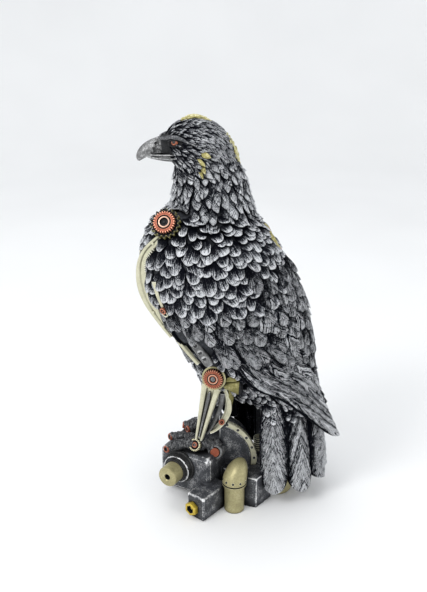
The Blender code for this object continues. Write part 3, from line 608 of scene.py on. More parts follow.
def sweep(
    bm: BMesh,
    path: Sequence[Vector],
    normals: Vector | Sequence[Vector],
    section: Outline,
    widths: float | Sequence[float],
    heights: float | Sequence[float],
    material: int = 0,
) -> None:
    """Adds a bar drawn along a path, closed at both ends.

    Args:
        bm: what it is added to.
        path: the bar's centre line.
        normals: the outward direction at each of its points, or at all of them.
        section: the bar's outline, each way from about -0.5 to 0.5.
        widths: its width at each point, or at all of them.
        heights: its height at each point, or at all of them.
        material: its material index.
    """
    normals, widths, heights = (each(value, len(path)) for value in (normals, widths, heights))
    stands = []
    for i, centre in enumerate(path):
        along = (path[min(i + 1, len(path) - 1)] - path[max(i - 1, 0)]).normalized()
        side = along.cross(normals[i]).normalized()
        out = side.cross(along)
        turn = Matrix((side, out, along)).transposed().to_4x4()
        turn.translation = centre
        stands.append(turn @ Matrix.Diagonal((widths[i], heights[i], 1, 1)))
    part = bmesh.new()
    face = part.faces.new([part.verts.new(stands[0] @ Vector((x, y, 0))) for x, y in section])
    for i in range(1, len(stands)):
        if i == 1:
            made = bmesh.ops.extrude_face_region(part, geom=[face])["geom"]
            face = next(g for g in made if isinstance(g, bmesh.types.BMFace))
        else:
            (face,) = bmesh.ops.extrude_discrete_faces(part, faces=[face])["faces"]
        change = stands[i] @ stands[i - 1].inverted_safe()
        bmesh.ops.transform(part, matrix=change, verts=face.verts)
    for face in part.faces:
        face.material_index = material
    join(bm, part)


def round_section(sides: int = 12) -> Outline:
    """A round outline of width 1."""
    angles = [2 * math.pi * k / sides for k in range(sides)]
    return [(0.5 * math.cos(a), 0.5 * math.sin(a)) for a in angles]


def bevelled(shoulder: float, crest: float, top: float = 0.5) -> Outline:
    """A bar's outline, its upper corners cut from a shoulder's height to a crest's half width."""
    return ((-0.5, -0.5), (0.5, -0.5), (0.5, shoulder), (crest, top), (-crest, top), (-0.5, shoulder))


def mirrored(*half: tuple[float, float]) -> Outline:
    """The half of an outline followed by its mirror image, where a point on the axis comes once."""
    return (*half, *((-x, y) for x, y in reversed(half) if x))


def rod(
    bm: BMesh, path: Sequence[Vector], radii: float | Sequence[float], material: int = 0, sides: int = 12
) -> None:
    """Adds a round rod through the points, with a radius at each."""
    widths = [2 * r for r in each(radii, len(path))]
    askew = Vector((0.21, 0.94, 0.27))  # a direction that no rod runs in
    sweep(bm, path, askew, round_section(sides), widths, widths, material)


def ball(
    bm: BMesh, centre: Vector, radius: float, shape: Matrix = Matrix.Identity(4), rounds: int = 3
) -> None:
    """Adds a ball, which shape may flatten or turn."""
    part = bmesh.new()
    bmesh.ops.create_icosphere(part, subdivisions=rounds, radius=radius, matrix=moved(*centre) @ shape)
    join(bm, part)


def rivet(
    bm: BMesh, centre: Vector, outward: Vector, radius: float, material: int = 0, hole: int = -1
) -> None:
    """Adds a domed rivet, or a ringed hole where hole gives the material index of its floor."""
    profile = [(0, -0.6, material), (1, -0.6, material)]
    if hole < 0:
        profile += [(1, 0.05, material), (0.82, 0.38, material), (0.45, 0.58, material)]
        profile += [(0, 0.65, material)]
    else:
        profile += [(1, 0.1, material), (0.9, 0.25, material), (0.62, 0.22, material), (0.52, -0.35, hole)]
        profile += [(0, -0.38, hole)]
    lathe(bm, profile, aligned(centre, outward), 14, radius)


def drilled(bm: BMesh, centre: Vector, outward: Vector, radius: float, material: int) -> None:
    """Adds a hole with a thin lip, all in one material, which where it is used is the near-black of painted shade
    inside the hole.
    """
    rows = ((0, -0.4), (1.2, -0.4), (1.15, 0.1), (1, 0.20), (0.9, 0.12), (0, 0.11))
    lathe(bm, [(*row, material) for row in rows], aligned(centre, outward), 16, radius)


@dataclass(frozen=True)
class GearCut:
    """A gear's sizes: rings are shares of its radius with a rise and a material index, from the rim in."""

    radius: float
    height: float
    teeth: int
    root: float = 0.84
    rings: Profile = ()
    tooth_material: int = 0

    def cut(self, bm: BMesh, seat: Matrix) -> None:
        """Adds the gear, resting on the seat's XY plane."""
        part = bmesh.new()
        bmesh.ops.create_circle(part, cap_ends=True, radius=self.radius, segments=4 * self.teeth)
        for k, vert in enumerate(part.verts):
            vert.co *= self.root if k % 4 in (2, 3) else 1.0
        (bottom,) = part.faces
        made = bmesh.ops.extrude_face_region(part, geom=[bottom])["geom"]
        top = next(g for g in made if isinstance(g, bmesh.types.BMFace))
        bmesh.ops.translate(part, verts=top.verts, vec=(0, 0, 0.88 * self.height))
        for face in part.faces:
            face.material_index = self.tooth_material
        for share, rise, material in ((self.root - 0.02, 1.0, self.tooth_material), *self.rings):
            (top,) = bmesh.ops.extrude_discrete_faces(part, faces=[top])["faces"]
            for vert in top.verts:
                reach = share * self.radius
                if share > self.root - 0.03:
                    reach = min(vert.co.xy.length - 0.03 * self.radius, 0.97 * self.radius)
                vert.co = vert.co.xy.normalized().to_3d() * reach
                vert.co.z = rise * self.height
            for edge in top.edges:
                for face in edge.link_faces:
                    face.material_index = material
        bmesh.ops.transform(part, matrix=seat, verts=part.verts)
        join(bm, part)


def remeshed(
    node: str, voxel: float, smoothing: int, rise: float, level: float, lumps: float = 0.0
) -> bpy.types.Mesh:
    """A frame node's mesh made over in even faces, smoothed, and moved along its normals.

    Args:
        node: the frame's node.
        voxel: the size of the new faces.
        smoothing: how many times they are smoothed.
        rise: how far a point moves outward where the texture is 1 above the level.
        level: the texture's level at which a point stays.
        lumps: the size of the texture's clouds, or 0 for an even 1.

    Returns:
        The new mesh.
    """
    bm = bmesh.new()
    bm.from_mesh(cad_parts[node].data)
    bmesh.ops.remove_doubles(bm, verts=bm.verts, dist=1e-6)
    mesh = bpy.data.meshes.new("start")
    bm.to_mesh(mesh)
    bm.free()
    helper = bpy.data.objects.new("helper", mesh)
    bpy.context.scene.collection.objects.link(helper)
    remesh = helper.modifiers.new("even", "REMESH")
    remesh.mode = "VOXEL"
    remesh.voxel_size = voxel
    smooth = helper.modifiers.new("smooth", "SMOOTH")
    smooth.factor = 0.5
    smooth.iterations = smoothing
    move = helper.modifiers.new("move", "DISPLACE")
    move.strength = rise
    move.mid_level = level
    if lumps:
        move.texture = bpy.data.textures.new("rough", "CLOUDS")
        move.texture.noise_scale = lumps
        move.texture_coords = "LOCAL"
    made = bpy.data.meshes.new_from_object(helper.evaluated_get(bpy.context.evaluated_depsgraph_get()))
    bpy.data.objects.remove(helper)
    return made


class Skin:
    """The smooth dark body under the feathers, drawn in by DEPTH from the frame's eagle."""

    VOXEL = 1.5 * MM
    SMOOTHING = 22
    DEPTH = 1.1 * MM
    AXIS = (
        (0.085, 0.024), (0.112, 0.020), (0.145, 0.012), (0.190, -0.003),
        (0.222, -0.001), (0.242, -0.003), (0.262, -0.009), (0.280, -0.012),
    )  # height and Y of the body's middle line

    def __init__(self) -> None:
        """Makes the body's mesh and a tree for finding places on it."""
        self.mesh = remeshed("eagle", self.VOXEL, self.SMOOTHING, -self.DEPTH, 0.0)
        self.mesh.name = "under_feathers"
        self.carve()
        found = bmesh.new()
        found.from_mesh(self.mesh)
        self.tree = BVHTree.FromBMesh(found)
        found.free()

    def carve(self) -> None:
        """Sinks the hollows of the eyes, gives the faces round the eyes and the lore the near-black second
        material as painted shade under the brows, and leaves off the front toes, which are modelled anew.
        """
        bm = bmesh.new()
        bm.from_mesh(self.mesh)
        toes = [v for v in bm.verts if v.co.y < -14 * MM and v.co.z < 60 * MM]
        bmesh.ops.delete(bm, geom=toes, context="VERTS")
        for vert in bm.verts:
            side = math.copysign(1.0, vert.co.x)
            for place, reach, depth in (((15, -26.5, 261.6), 9.5, 2.4), ((11.5, -31.5, 259.0), 8.0, 1.6)):
                away = (vert.co - row_point(side * place[0], place[1], place[2])).length / MM
                share = ease(reach, 0.35 * reach, away) if away < reach else 0.0
                vert.co.x -= side * share * depth * MM
        # painted shade: the band round the eyes and the lore takes the near-black material
        for face in bm.faces:
            middle = face.calc_center_median() / MM
            if middle.y < -20 and 252 < middle.z < 267.5:
                face.material_index = 1
        bm.to_mesh(self.mesh)
        bm.free()

    def round_spot(self, degrees: float, height: float) -> tuple[Vector, Vector] | None:
        """The body's surface at a height, in a direction round it: 0 degrees in front and 90 on the left."""
        middle = float(np.interp(height, [h for h, _ in self.AXIS], [y for _, y in self.AXIS]))
        a = math.radians(degrees)
        outward = Vector((math.sin(a), -math.cos(a), 0))
        centre = Vector((0, middle, height))
        hit, normal, _, _ = self.tree.ray_cast(centre + outward * 0.09, -outward)
        if hit is None:
            return None
        return hit, normal

    def ring(self, height: float, first: float, last: float, pitch: float, shift: float) -> list[float]:
        """Directions round the body at which spots lie a pitch apart.

        Args:
            height: the ring's height.
            first: the direction that it starts at, in degrees.
            last: the direction that it ends at.
            pitch: the spacing along the surface.
            shift: a share of the pitch by which the whole row is moved on.

        Returns:
            The directions in degrees.
        """
        probes = np.arange(first, last + 0.1, 3.0)
        spots = [self.round_spot(float(d), height) for d in probes]
        lengths, run = [0.0], 0.0
        points = [(float(d), s[0]) for d, s in zip(probes, spots) if s is not None]
        if len(points) < 2:
            return []
        for (_, a), (_, b) in zip(points, points[1:]):
            run += (b - a).length
            lengths.append(run)
        degrees = [d for d, _ in points]
        count = max(int(run / pitch), 1)
        places = [(k + shift) * run / count for k in range(count)]
        return [float(np.interp(p, lengths, degrees)) for p in places]


@dataclass(frozen=True)
class FeatherCut:
    """The outline and relief of one kind of feather. Widths are shares at even steps from root to tip."""

    widths: tuple[float, ...] = (0.50, 0.80, 0.96, 1.0, 0.90, 0.60)
    round_tip: float = 0.20
    camber: float = 0.9 * MM
    thickness: float = 0.6 * MM
    tip_lift: float = 1.5 * MM
    curl: float = 0.5 * MM
    shaft: float = 0.0
    pitch: float = 1.15 * MM
    slant: float = 0.0
    groove: float = 0.0
    # the share at the root that the next row covers, painted darker there as shade
    hidden: float = 0.38
    quill: float = 0.0
    rim: float = 0.24
    # how far the side edges are darkened, as painted shade of the gaps between feathers
    seam: float = 0.0
    columns: int = 6
    rows: int = 6

    def blank(self) -> bpy.types.Mesh:
        """A flat closed feather, from -1 to 1 across and along, and from 0 down to -1 deep."""
        bm = bmesh.new()
        bmesh.ops.create_grid(bm, x_segments=self.columns, y_segments=self.rows, size=1.0)
        made = bmesh.ops.extrude_face_region(bm, geom=bm.faces[:])["geom"]
        low = [v for v in made if isinstance(v, bmesh.types.BMVert)]
        bmesh.ops.translate(bm, verts=low, vec=(0, 0, -1))
        bmesh.ops.recalc_face_normals(bm, faces=bm.faces)
        mesh = bpy.data.meshes.new("feather_blank")
        bm.to_mesh(mesh)
        bm.free()
        return mesh


@dataclass
class Feather:
    """One feather's place: its root, its direction, the way it faces, its length, width and shade."""

    root: Vector
    along: Vector
    out: Vector
    length: float
    width: float
    shade: float
    rise: float = 1.0


@dataclass(frozen=True)
class Tract:
    """Feathers in rows round the body, like tiles, in millimetres and degrees.

    The rows go down from the top to low, a step apart. Each runs from first to last, counted from the front
    towards the left, with its feathers a pitch apart. Spread is how much their places and sizes vary, as a
    share, and wander how much their directions do.
    """

    cut: FeatherCut
    top: float
    low: float
    step: float
    first: float
    last: float
    pitch: float
    length: float
    width: float
    spread: float = 0.26
    wander: float = 18.0

    def heights(self) -> list[float]:
        """The height of each row, in metres."""
        count = int((self.top - self.low) / self.step) + 1
        return [(self.top - k * self.step) * MM for k in range(count)]


def rows_of(vectors: Sequence[Vector]) -> np.ndarray:
    """Vectors as the rows of an array."""
    return np.array([tuple(v) for v in vectors], dtype=float)


def unit_rows(values: np.ndarray) -> np.ndarray:
    """The vectors in the last axis, made one long."""
    return values / (np.linalg.norm(values, axis=-1, keepdims=True) + 1e-12)


class Coat:
    """A coat of feathers that becomes one piece."""

    def __init__(self, name: str, finish: Finish, skin: Skin) -> None:
        """Starts an empty coat."""
        self.name = name
        self.finish = finish
        self.skin = skin
        self.bm = bmesh.new()
        self.points: list[np.ndarray] = []
        self.barbs: list[np.ndarray] = []
        self.wear_and_shade: list[np.ndarray] = []
        self.shade: list[np.ndarray] = []

    def relief(self, cut: FeatherCut, length: np.ndarray, width: np.ndarray) -> tuple[np.ndarray, ...]:
        """The shape of some feathers of one cut on the flat.

        Args:
            cut: their cut.
            length: the length of each.
            width: the width of each.

        Returns:
            The distance along, the distance across and the height of every point of every feather.
        """
        blank = cut.blank()
        flat = np.zeros(len(blank.vertices) * 3)
        blank.vertices.foreach_get("co", flat)
        flat = flat.reshape(-1, 3)
        s, t, low = np.sin(0.5 * math.pi * flat[:, 0]), (flat[:, 1] + 1) / 2, -flat[:, 2]
        share = np.interp(t, np.linspace(0, 1, len(cut.widths)), cut.widths)
        along = length[:, None] * (t * (1 - cut.round_tip * (1 - np.sqrt(np.maximum(1 - s**2, 0)))))[None]
        across = 0.5 * width[:, None] * (share * s)[None]
        fan = 0.5 * width[:, None] * s[None]
        barb = ((along - cut.slant * np.abs(across)) if cut.slant else fan) / cut.pitch
        size = np.minimum(width / (8 * MM), 1.4)[:, None]
        lift = cut.tip_lift * t**0.85 - cut.curl * t**5
        lift = lift[None] + size * cut.camber * (1 - s**2) * (0.4 + 0.6 * t)
        lift = lift + cut.shaft * np.exp(-((s * share / 0.10) ** 2))[None]
        turn = 2 * math.pi * barb
        uneven = 0.5 * np.sin(turn) + 0.5 * np.sin(0.37 * turn + 9.0 * width[:, None] / MM)
        lift = lift + cut.groove * uneven * (np.abs(s) < 0.97)[None] * (1 - low)[None]
        lift = lift - cut.thickness * low[None]
        # Rubbed wear and painted shade together: worn is bright on the rims, tips and quill, which is wear. It
        # falls to dark towards the covered root, on the underside and side walls, and along the side edges, which
        # is painted shade of the overlapping feathers and the gaps between them.
        shown = np.clip((t - cut.hidden) / (1 - cut.hidden), 0, 1)
        rim = np.clip(np.abs(s) ** 4 * shown**0.5 + 0.9 * shown**6, 0, 1)
        worn = cut.rim * rim + (0.90 - cut.rim) * shown**0.8 + 0.10 * (1 - s**2)
        worn = np.clip(worn, 0, 1) * (1 - low)
        worn = worn - 0.5 * cut.seam * np.clip((np.abs(s) - 0.66) / 0.3, 0, 1)
        worn = worn + cut.quill * np.exp(-((s * share / 0.07) ** 2)) * (1 - low)
        count = len(length)
        self.barbs.append(np.stack([barb, np.broadcast_to(t, barb.shape)], axis=-1).reshape(-1, 2))
        self.wear_and_shade.append(np.broadcast_to(worn, (count, len(s))).reshape(-1))
        for _ in range(count):
            self.bm.from_mesh(blank)
        bpy.data.meshes.remove(blank)
        return along, across, lift

    def lay(self, cut: FeatherCut, feathers: Sequence[Feather]) -> None:
        """Lays feathers of one cut on the body, each bent to follow it."""
        if not feathers:
            return
        length = np.array([f.length for f in feathers])
        width = np.array([f.width for f in feathers])
        along, across, lift = self.relief(cut, length, width)
        root = rows_of([f.root for f in feathers])
        out = rows_of([f.out for f in feathers])
        ahead = rows_of([f.along for f in feathers])
        side = unit_rows(np.cross(ahead, out))
        flat = root[:, None] + ahead[:, None] * along[..., None] + side[:, None] * across[..., None]
        base = np.empty_like(flat)
        normal = np.empty_like(flat)
        find = self.skin.tree.find_nearest
        for i in range(flat.shape[0]):
            for j in range(flat.shape[1]):
                spot, facing, _, _ = find(Vector(flat[i, j]))
                base[i, j] = spot
                normal[i, j] = facing
        normal = unit_rows(normal + 0.8 * out[:, None])
        rise = np.array([f.rise for f in feathers])[:, None]
        self.points.append((base + normal * (lift * rise)[..., None]).reshape(-1, 3))
        shade = np.array([f.shade for f in feathers])
        self.shade.append(np.repeat(shade, along.shape[1]))

    def draw(
        self, cut: FeatherCut, path: Sequence[Vector], out: Vector, width: float, shade: float
    ) -> None:
        """Adds one long feather that follows a path through the air."""
        steps = 33
        curve = rows_of(spaced(path, steps))
        run = np.concatenate([[0.0], np.cumsum(np.linalg.norm(np.diff(curve, axis=0), axis=1))])
        along, across, lift = self.relief(cut, np.array([run[-1]]), np.array([width]))
        heading = unit_rows(np.gradient(curve, axis=0))
        side = unit_rows(np.cross(heading, np.array(out)))
        facing = np.cross(side, heading)
        at = along[0]

        def read(values: np.ndarray) -> np.ndarray:
            """Values on the curve, read at each point of the feather."""
            return np.stack([np.interp(at, run, values[:, k]) for k in range(3)], axis=-1)

        points = read(curve) + read(side) * across[0][:, None] + read(facing) * lift[0][:, None]
        self.points.append(points)
        self.shade.append(np.full(len(points), shade))

    def finish_coat(self, nodes: Sequence[str] = ()) -> bpy.types.Object:
        """Makes the piece."""
        mesh = bpy.data.meshes.new(self.name)
        self.bm.to_mesh(mesh)
        self.bm.free()
        points = np.concatenate(self.points)
        mesh.vertices.foreach_set("co", points.ravel())
        for name, values in (("wear_and_shade", self.wear_and_shade), ("shade", self.shade)):
            layer = mesh.attributes.new(name, "FLOAT", "POINT")
            layer.data.foreach_set("value", np.concatenate(values).astype(np.float32))
        corner = np.zeros(len(mesh.loops), dtype=np.int32)
        mesh.loops.foreach_get("vertex_index", corner)
        uv = mesh.uv_layers.new(name="barbs")
        uv.data.foreach_set("uv", np.concatenate(self.barbs)[corner].astype(np.float32).ravel())
        mesh.update()
        return finish_mesh(self.name, mesh, (self.finish,), nodes, 48.0)


class Plumage:
    """Every feather of the eagle."""

    SCALLOP = FeatherCut(
        widths=(0.60, 0.84, 0.97, 1.0, 1.0, 0.96), round_tip=0.40, camber=1.5 * MM, thickness=1.2 * MM,
        tip_lift=2.1 * MM, curl=0.9 * MM,
    )
    COLLAR_SCALLOP = FeatherCut(
        widths=(0.60, 0.84, 0.97, 1.0, 1.0, 0.94), round_tip=0.42, camber=1.2 * MM, thickness=1.2 * MM,
        tip_lift=3.0 * MM, curl=0.5 * MM, pitch=0.95 * MM,
    )
    COVERT = FeatherCut(
        widths=(0.55, 0.80, 0.94, 1.0, 1.0, 0.96), round_tip=0.24, camber=1.6 * MM, thickness=1.3 * MM,
        tip_lift=2.6 * MM, curl=0.8 * MM, shaft=0.25 * MM, slant=2.4, pitch=3.0 * MM, rows=9, hidden=0.2,
        rim=0.1, seam=0.5,
    )
    SECONDARY = FeatherCut(
        widths=(0.6, 0.8, 0.92, 1.0, 1.0, 1.0, 0.96), round_tip=0.13, camber=1.9 * MM, thickness=1.4 * MM,
        tip_lift=3.2 * MM, curl=0.6 * MM, shaft=0.35 * MM, slant=3.0, pitch=3.8 * MM, groove=0.14 * MM,
        columns=10, rows=18, hidden=0.10, rim=0.05, seam=0.9,
    )
    BLADE = FeatherCut(
        widths=(0.75, 0.9, 0.98, 1.0, 1.0, 1.0, 0.96, 0.84), round_tip=0.07,
        camber=3.2 * MM, thickness=3.4 * MM,
        tip_lift=0.0, curl=0.6 * MM, shaft=0.5 * MM, slant=6.0, pitch=7.0 * MM, groove=0.22 * MM,
        hidden=-0.5, quill=0.18, columns=14, rows=64, rim=0.0, seam=2.4,
    )
    TAIL = FeatherCut(
        widths=(0.55, 0.74, 0.88, 0.97, 1.0, 1.0, 1.0, 0.92), round_tip=0.13,
        camber=3.2 * MM, thickness=2.4 * MM,
        tip_lift=0.0, curl=1.4 * MM, shaft=0.6 * MM, slant=3.0, pitch=5.4 * MM, groove=0.35 * MM,
        hidden=-0.5, quill=0.15, columns=20, rows=72, rim=0.0, seam=1.2,
    )
    HACKLE = FeatherCut(
        widths=(0.60, 0.90, 1.0, 0.95, 0.72, 0.14), round_tip=0.0, camber=1.3 * MM, tip_lift=2.2 * MM,
        curl=0.1 * MM, shaft=0.3 * MM, slant=1.6, pitch=1.2 * MM, thickness=1.1 * MM,
    )
    STRAND = FeatherCut(
        widths=(0.7, 1.0, 0.9, 0.16), round_tip=0.0, camber=1.0 * MM, tip_lift=1.3 * MM, curl=0.1 * MM,
        thickness=0.9 * MM, pitch=0.8 * MM, hidden=0.35, columns=2, rows=5,
    )
    TUFT = FeatherCut(
        widths=(0.60, 0.90, 1.0, 1.0, 0.92, 0.60), round_tip=0.18, camber=1.2 * MM, tip_lift=2.2 * MM,
        curl=0.3 * MM, slant=1.2, pitch=1.1 * MM, thickness=1.1 * MM,
    )

    def __init__(self, skin: Skin) -> None:
        """Keeps the body that the feathers lie on."""
        self.skin = skin
        self.rng = random.Random(11)
        self.clear = self.fittings()

    @staticmethod
    def fittings() -> list[tuple[Vector, float]]:
        """The places that are kept clear for the fittings, with the reach of each."""
        harness = Harness()
        places = []
        for side in Side:
            for d, h in spaced([Vector(s) for s in harness.stations], 40):
                places.append((TRUNK.point(side.value * d, h), 4.6 * MM))
        rods = ((44, 139, 3.5), (45, 129, 3.5), (46, 119, 3.5), (40, 92, 6), (45, 86, 6.5), (50, 78, 7))
        for d, h, reach in rods:
            places.append((TRUNK.point(d, h), reach * MM))
        places.append((units(*harness.shoulder), 8.2 * MM))
        places.append((row_point(34, -8, 126), 7.5 * MM))
        places.append((row_point(35, -2, 117), 7.5 * MM))
        places.append((units(31.5, 0, 68), 11.0 * MM))
        places.append((row_point(31, 13, 101), 11.0 * MM))
        return places

    def near(self, middle: float, spread: float) -> float:
        """A number near the middle one, within a share of it."""
        return middle * (1 + self.rng.uniform(-spread, spread))

    def blocked(self, point: Vector) -> bool:
        """True where a fitting leaves no room for a feather."""
        return any((point - spot).length < reach for spot, reach in self.clear)

    @staticmethod
    def body_flow(point: Vector) -> Vector:
        """The way the feathers of the body run at a point."""
        y, z = point.y / MM, point.z / MM
        lean = 90 - 0.55 * max(y + 30, -10) - 0.20 * (195 - z)
        angle = math.radians(min(max(lean, 48), 100))
        return Vector((0, math.cos(angle), -math.sin(angle)))

    @staticmethod
    def head_flow(point: Vector) -> Vector:
        """The way the feathers of the head and neck run at a point."""
        away = (point - row_point(0, -40, 257)).normalized()
        fall = 0.30 + 1.3 * ease(-12 * MM, 14 * MM, point.y) + 2.2 * ease(258 * MM, 240 * MM, point.z)
        return away + Vector((0, 0, -fall))

    def along(self, flow: Vector, normal: Vector, wander: float) -> Vector:
        """The flow laid along the surface and turned a little at random, in degrees."""
        flat = (flow - normal * flow.dot(normal)).normalized()
        turn = math.radians(self.rng.uniform(-wander, wander))
        return (Matrix.Rotation(turn, 3, normal) @ flat).normalized()

    def tract(self, tract: Tract, flow: Callable[[Vector], Vector]) -> list[Feather]:
        """The feathers of a tract, which run along the flow."""
        found = []
        length, spread = tract.length * MM, tract.spread
        for index, height in enumerate(tract.heights()):
            shift = 0.25 + 0.5 * (index % 2)
            for degrees in self.skin.ring(height, tract.first, tract.last, tract.pitch * MM, shift):
                turn = degrees + self.rng.uniform(-spread, spread) * 8
                level = height + self.rng.uniform(-spread, spread) * 0.6 * length
                spot = self.skin.round_spot(turn, level)
                if spot is None:
                    continue
                root, normal = spot
                heading = self.along(flow(root), normal, tract.wander)
                if any(self.blocked(root + heading * share * length) for share in (0.55, 0.9)):
                    continue
                shade = self.rng.uniform(-0.5, 0.5)
                size = length * self.near(1, spread)
                width = tract.width * MM * self.near(1, 0.6 * spread)
                rise = self.rng.uniform(0.8, 1.35)
                found.append(Feather(root, heading, normal, size, width, shade, rise))
        return found

    def cover(self, coat: Coat, flow: Callable[[Vector], Vector], *tracts: Tract) -> None:
        """Lays tracts of feathers, one after the other."""
        for tract in tracts:
            coat.lay(tract.cut, self.tract(tract, flow))

    def limb(
        self, points: Sequence[Vector], rows: int, around: int, length: float, width: float
    ) -> list[Feather]:
        """Feathers in rings round a limb, running down it.

        Args:
            points: the limb's axis.
            rows: how many rings there are.
            around: how many feathers a ring has.
            length: their length.
            width: their width.

        Returns:
            The feathers.
        """
        found = []
        axis = spaced(points, rows + 1)
        for i in range(rows):
            down = (axis[i + 1] - axis[i]).normalized()
            side = down.orthogonal().normalized()
            for k in range(around):
                turn = 2 * math.pi * (k + 0.5 * (i % 2) + self.rng.uniform(-0.15, 0.15)) / around
                outward = Matrix.Rotation(turn, 3, down) @ side
                start = axis[i] + down * self.rng.uniform(-0.1, 0.1) * length
                hit, normal, _, _ = self.skin.tree.ray_cast(start, outward, 30 * MM)
                if hit is None or self.blocked(hit):
                    continue
                normal = normal if normal.dot(outward) > 0 else -normal
                heading = self.along(down, normal, 12.0)
                shade = self.rng.uniform(-0.5, 0.5)
                size = self.near(length, 0.15)
                found.append(Feather(hit, heading, normal, size, self.near(width, 0.12), shade))
        return found

    def legs(self) -> None:
        """The small feathers of the thighs, the vent and the right leg."""
        coat = Coat("leg_feathers", Finishes.FEATHERS, self.skin)
        self.cover(
            coat,
            self.body_flow,
            Tract(self.TUFT, 116, 76, 4.4, 44, 180, 6.0, 9.5, 7.2, 0.2, 16),
            Tract(self.TUFT, 116, 76, 4.4, -180, -44, 6.0, 9.5, 7.2, 0.2, 16),
            Tract(self.TUFT, 112, 76, 5.0, -44, 44, 6.4, 10, 7.2, 0.16, 10),
        )
        right = ((-17, 2, 88), (-17, -1, 70), (-17, -3, 56), (-16.6, -1.2, 42), (-16.4, 0.6, 30))
        coat.lay(self.TUFT, self.limb([units(*p) for p in right], 12, 14, 9.5 * MM, 5.6 * MM))
        left = ((17, 2, 88), (18.5, 1.5, 78), (20, 1, 66))
        coat.lay(self.TUFT, self.limb([units(*p) for p in left], 5, 16, 9.0 * MM, 6.0 * MM))
        coat.finish_coat()

    def head(self) -> None:
        """The fine strands of the head and the pointed feathers of the neck."""
        coat = Coat("head_feathers", Finishes.HACKLES, self.skin)
        eye = row_point(17, -26, 262)
        centre = row_point(0, -9, 256)
        strands = []
        rings, top, step, widest = 19, 88, 5.6, 64
        for i in range(rings):
            rise = math.radians(top - i * step)
            count = max(int(widest * math.cos(rise)), 3)
            for k in range(count):
                turn = 2 * math.pi * (k + 0.5 * (i % 2) + self.rng.uniform(-0.25, 0.25)) / count
                lift = rise + math.radians(self.rng.uniform(-2.5, 2.5))
                flat = math.cos(lift)
                outward = Vector((flat * math.sin(turn), -flat * math.cos(turn), math.sin(lift)))
                root, normal, _, _ = self.skin.tree.ray_cast(centre + outward * 0.06, -outward)
                if root is None or root.z < 238 * MM:
                    continue
                # the eye hollows and the lore stay bare, so that the skin's near-black painted shade shows there
                face = (Vector((abs(root.x), root.y, root.z)) - eye).length < 5.6 * MM
                lore = root.y < -28.5 * MM and root.z < 264.5 * MM and abs(root.x) < 14 * MM
                if face or lore or root.y < -38 * MM or self.blocked(root):
                    continue
                heading = self.along(self.head_flow(root), normal, 16)
                grow = ease(-30 * MM, 10 * MM, root.y) + ease(258 * MM, 244 * MM, root.z)
                length = self.near(7.4 + 2.6 * grow, 0.25) * MM
                width = self.near(1.75 + 1.3 * grow, 0.2) * MM
                strands.append(Feather(root, heading, normal, length, width, self.rng.uniform(-1.6, 0.0)))
        coat.lay(self.STRAND, strands)
        rows = (
            (252, 4.4, 9.5, 4.2), (248.5, 4.4, 10.0, 4.4), (244.5, 4.5, 11.0, 4.8), (240, 4.7, 12.0, 5.2),
            (235.5, 5.0, 13.0, 5.6), (230.5, 5.4, 14.0, 6.2), (225.5, 5.8, 14.5, 6.8),
        )
        for index, (height, pitch, length, width) in enumerate(rows):
            start = -180 + 9 * (index % 2)
            row = Tract(self.HACKLE, height, height, 1, start, start + 360, pitch, length, width, 0.2, 11)
            made = self.tract(row, self.head_flow)
            coat.lay(self.HACKLE, [f for f in made if not (index < 2 and f.root.y < -14 * MM)])
        coat.finish_coat()

    def gilded(self) -> None:
        """The few hackles on the left of the neck that are painted brass."""
        coat = Coat("gilded_hackles", Finishes.GILT, self.skin)
        made = []
        for y, z in ((-5.0, 257.0), (-8.0, 253.5), (-5.5, 250.0), (-8.5, 247.0)):
            root, normal, _, _ = self.skin.tree.find_nearest(row_point(22, y - 3.5, z))
            heading = self.along(self.head_flow(root), normal, 14)
            length = self.near(6.6, 0.2) * MM
            made.append(Feather(root, heading, normal, length, self.near(3.0, 0.2) * MM, 0.0, 1.35))
        coat.lay(self.HACKLE, made)
        coat.finish_coat()

    def body(self) -> None:
        """The scalloped feathers of the shoulders, breast, back and wings."""
        coat = Coat("body_feathers", Finishes.FEATHERS, self.skin)
        self.cover(
            coat,
            self.body_flow,
            Tract(self.COLLAR_SCALLOP, 217, 205, 3.4, -180, 180, 6.4, 8.8, 7.2, 0.32, 26),
            Tract(self.SCALLOP, 204, 190, 4.2, -180, 180, 7.0, 11.4, 9.0, 0.3, 20),
            Tract(self.SCALLOP, 187, 163, 5.3, 24, 150, 8.0, 12.0, 9.6),
            Tract(self.SCALLOP, 187, 163, 5.3, -150, -24, 8.0, 12.0, 9.6),
            Tract(self.SCALLOP, 187, 100, 5.6, -24, 24, 7.4, 12.0, 8.6),
        )
        coat.finish_coat(("eagle",))

    def wings(self) -> None:
        """The longer feathers of the wings and back, down to the wing tips."""
        coat = Coat("wing_feathers", Finishes.FLIGHT, self.skin)
        for first, last in ((112, 180), (-180, -112)):
            back = Tract(self.COVERT, 188, 120, 10.0, first, last, 9.0, 22, 10.4, 0.16, 9)
            self.cover(coat, self.body_flow, back)
        for side in Side:
            ends = sorted((side.value * 28, side.value * 128))
            self.cover(
                coat,
                self.body_flow,
                Tract(self.COVERT, 163, 152, 7.5, *ends, 7.8, 18, 9.6, 0.22, 12),
                Tract(self.SECONDARY, 149, 130, 18.0, *ends, 6.8, 36, 9.0, 0.13, 7),
            )
            self.primaries(coat, side)
        coat.finish_coat()

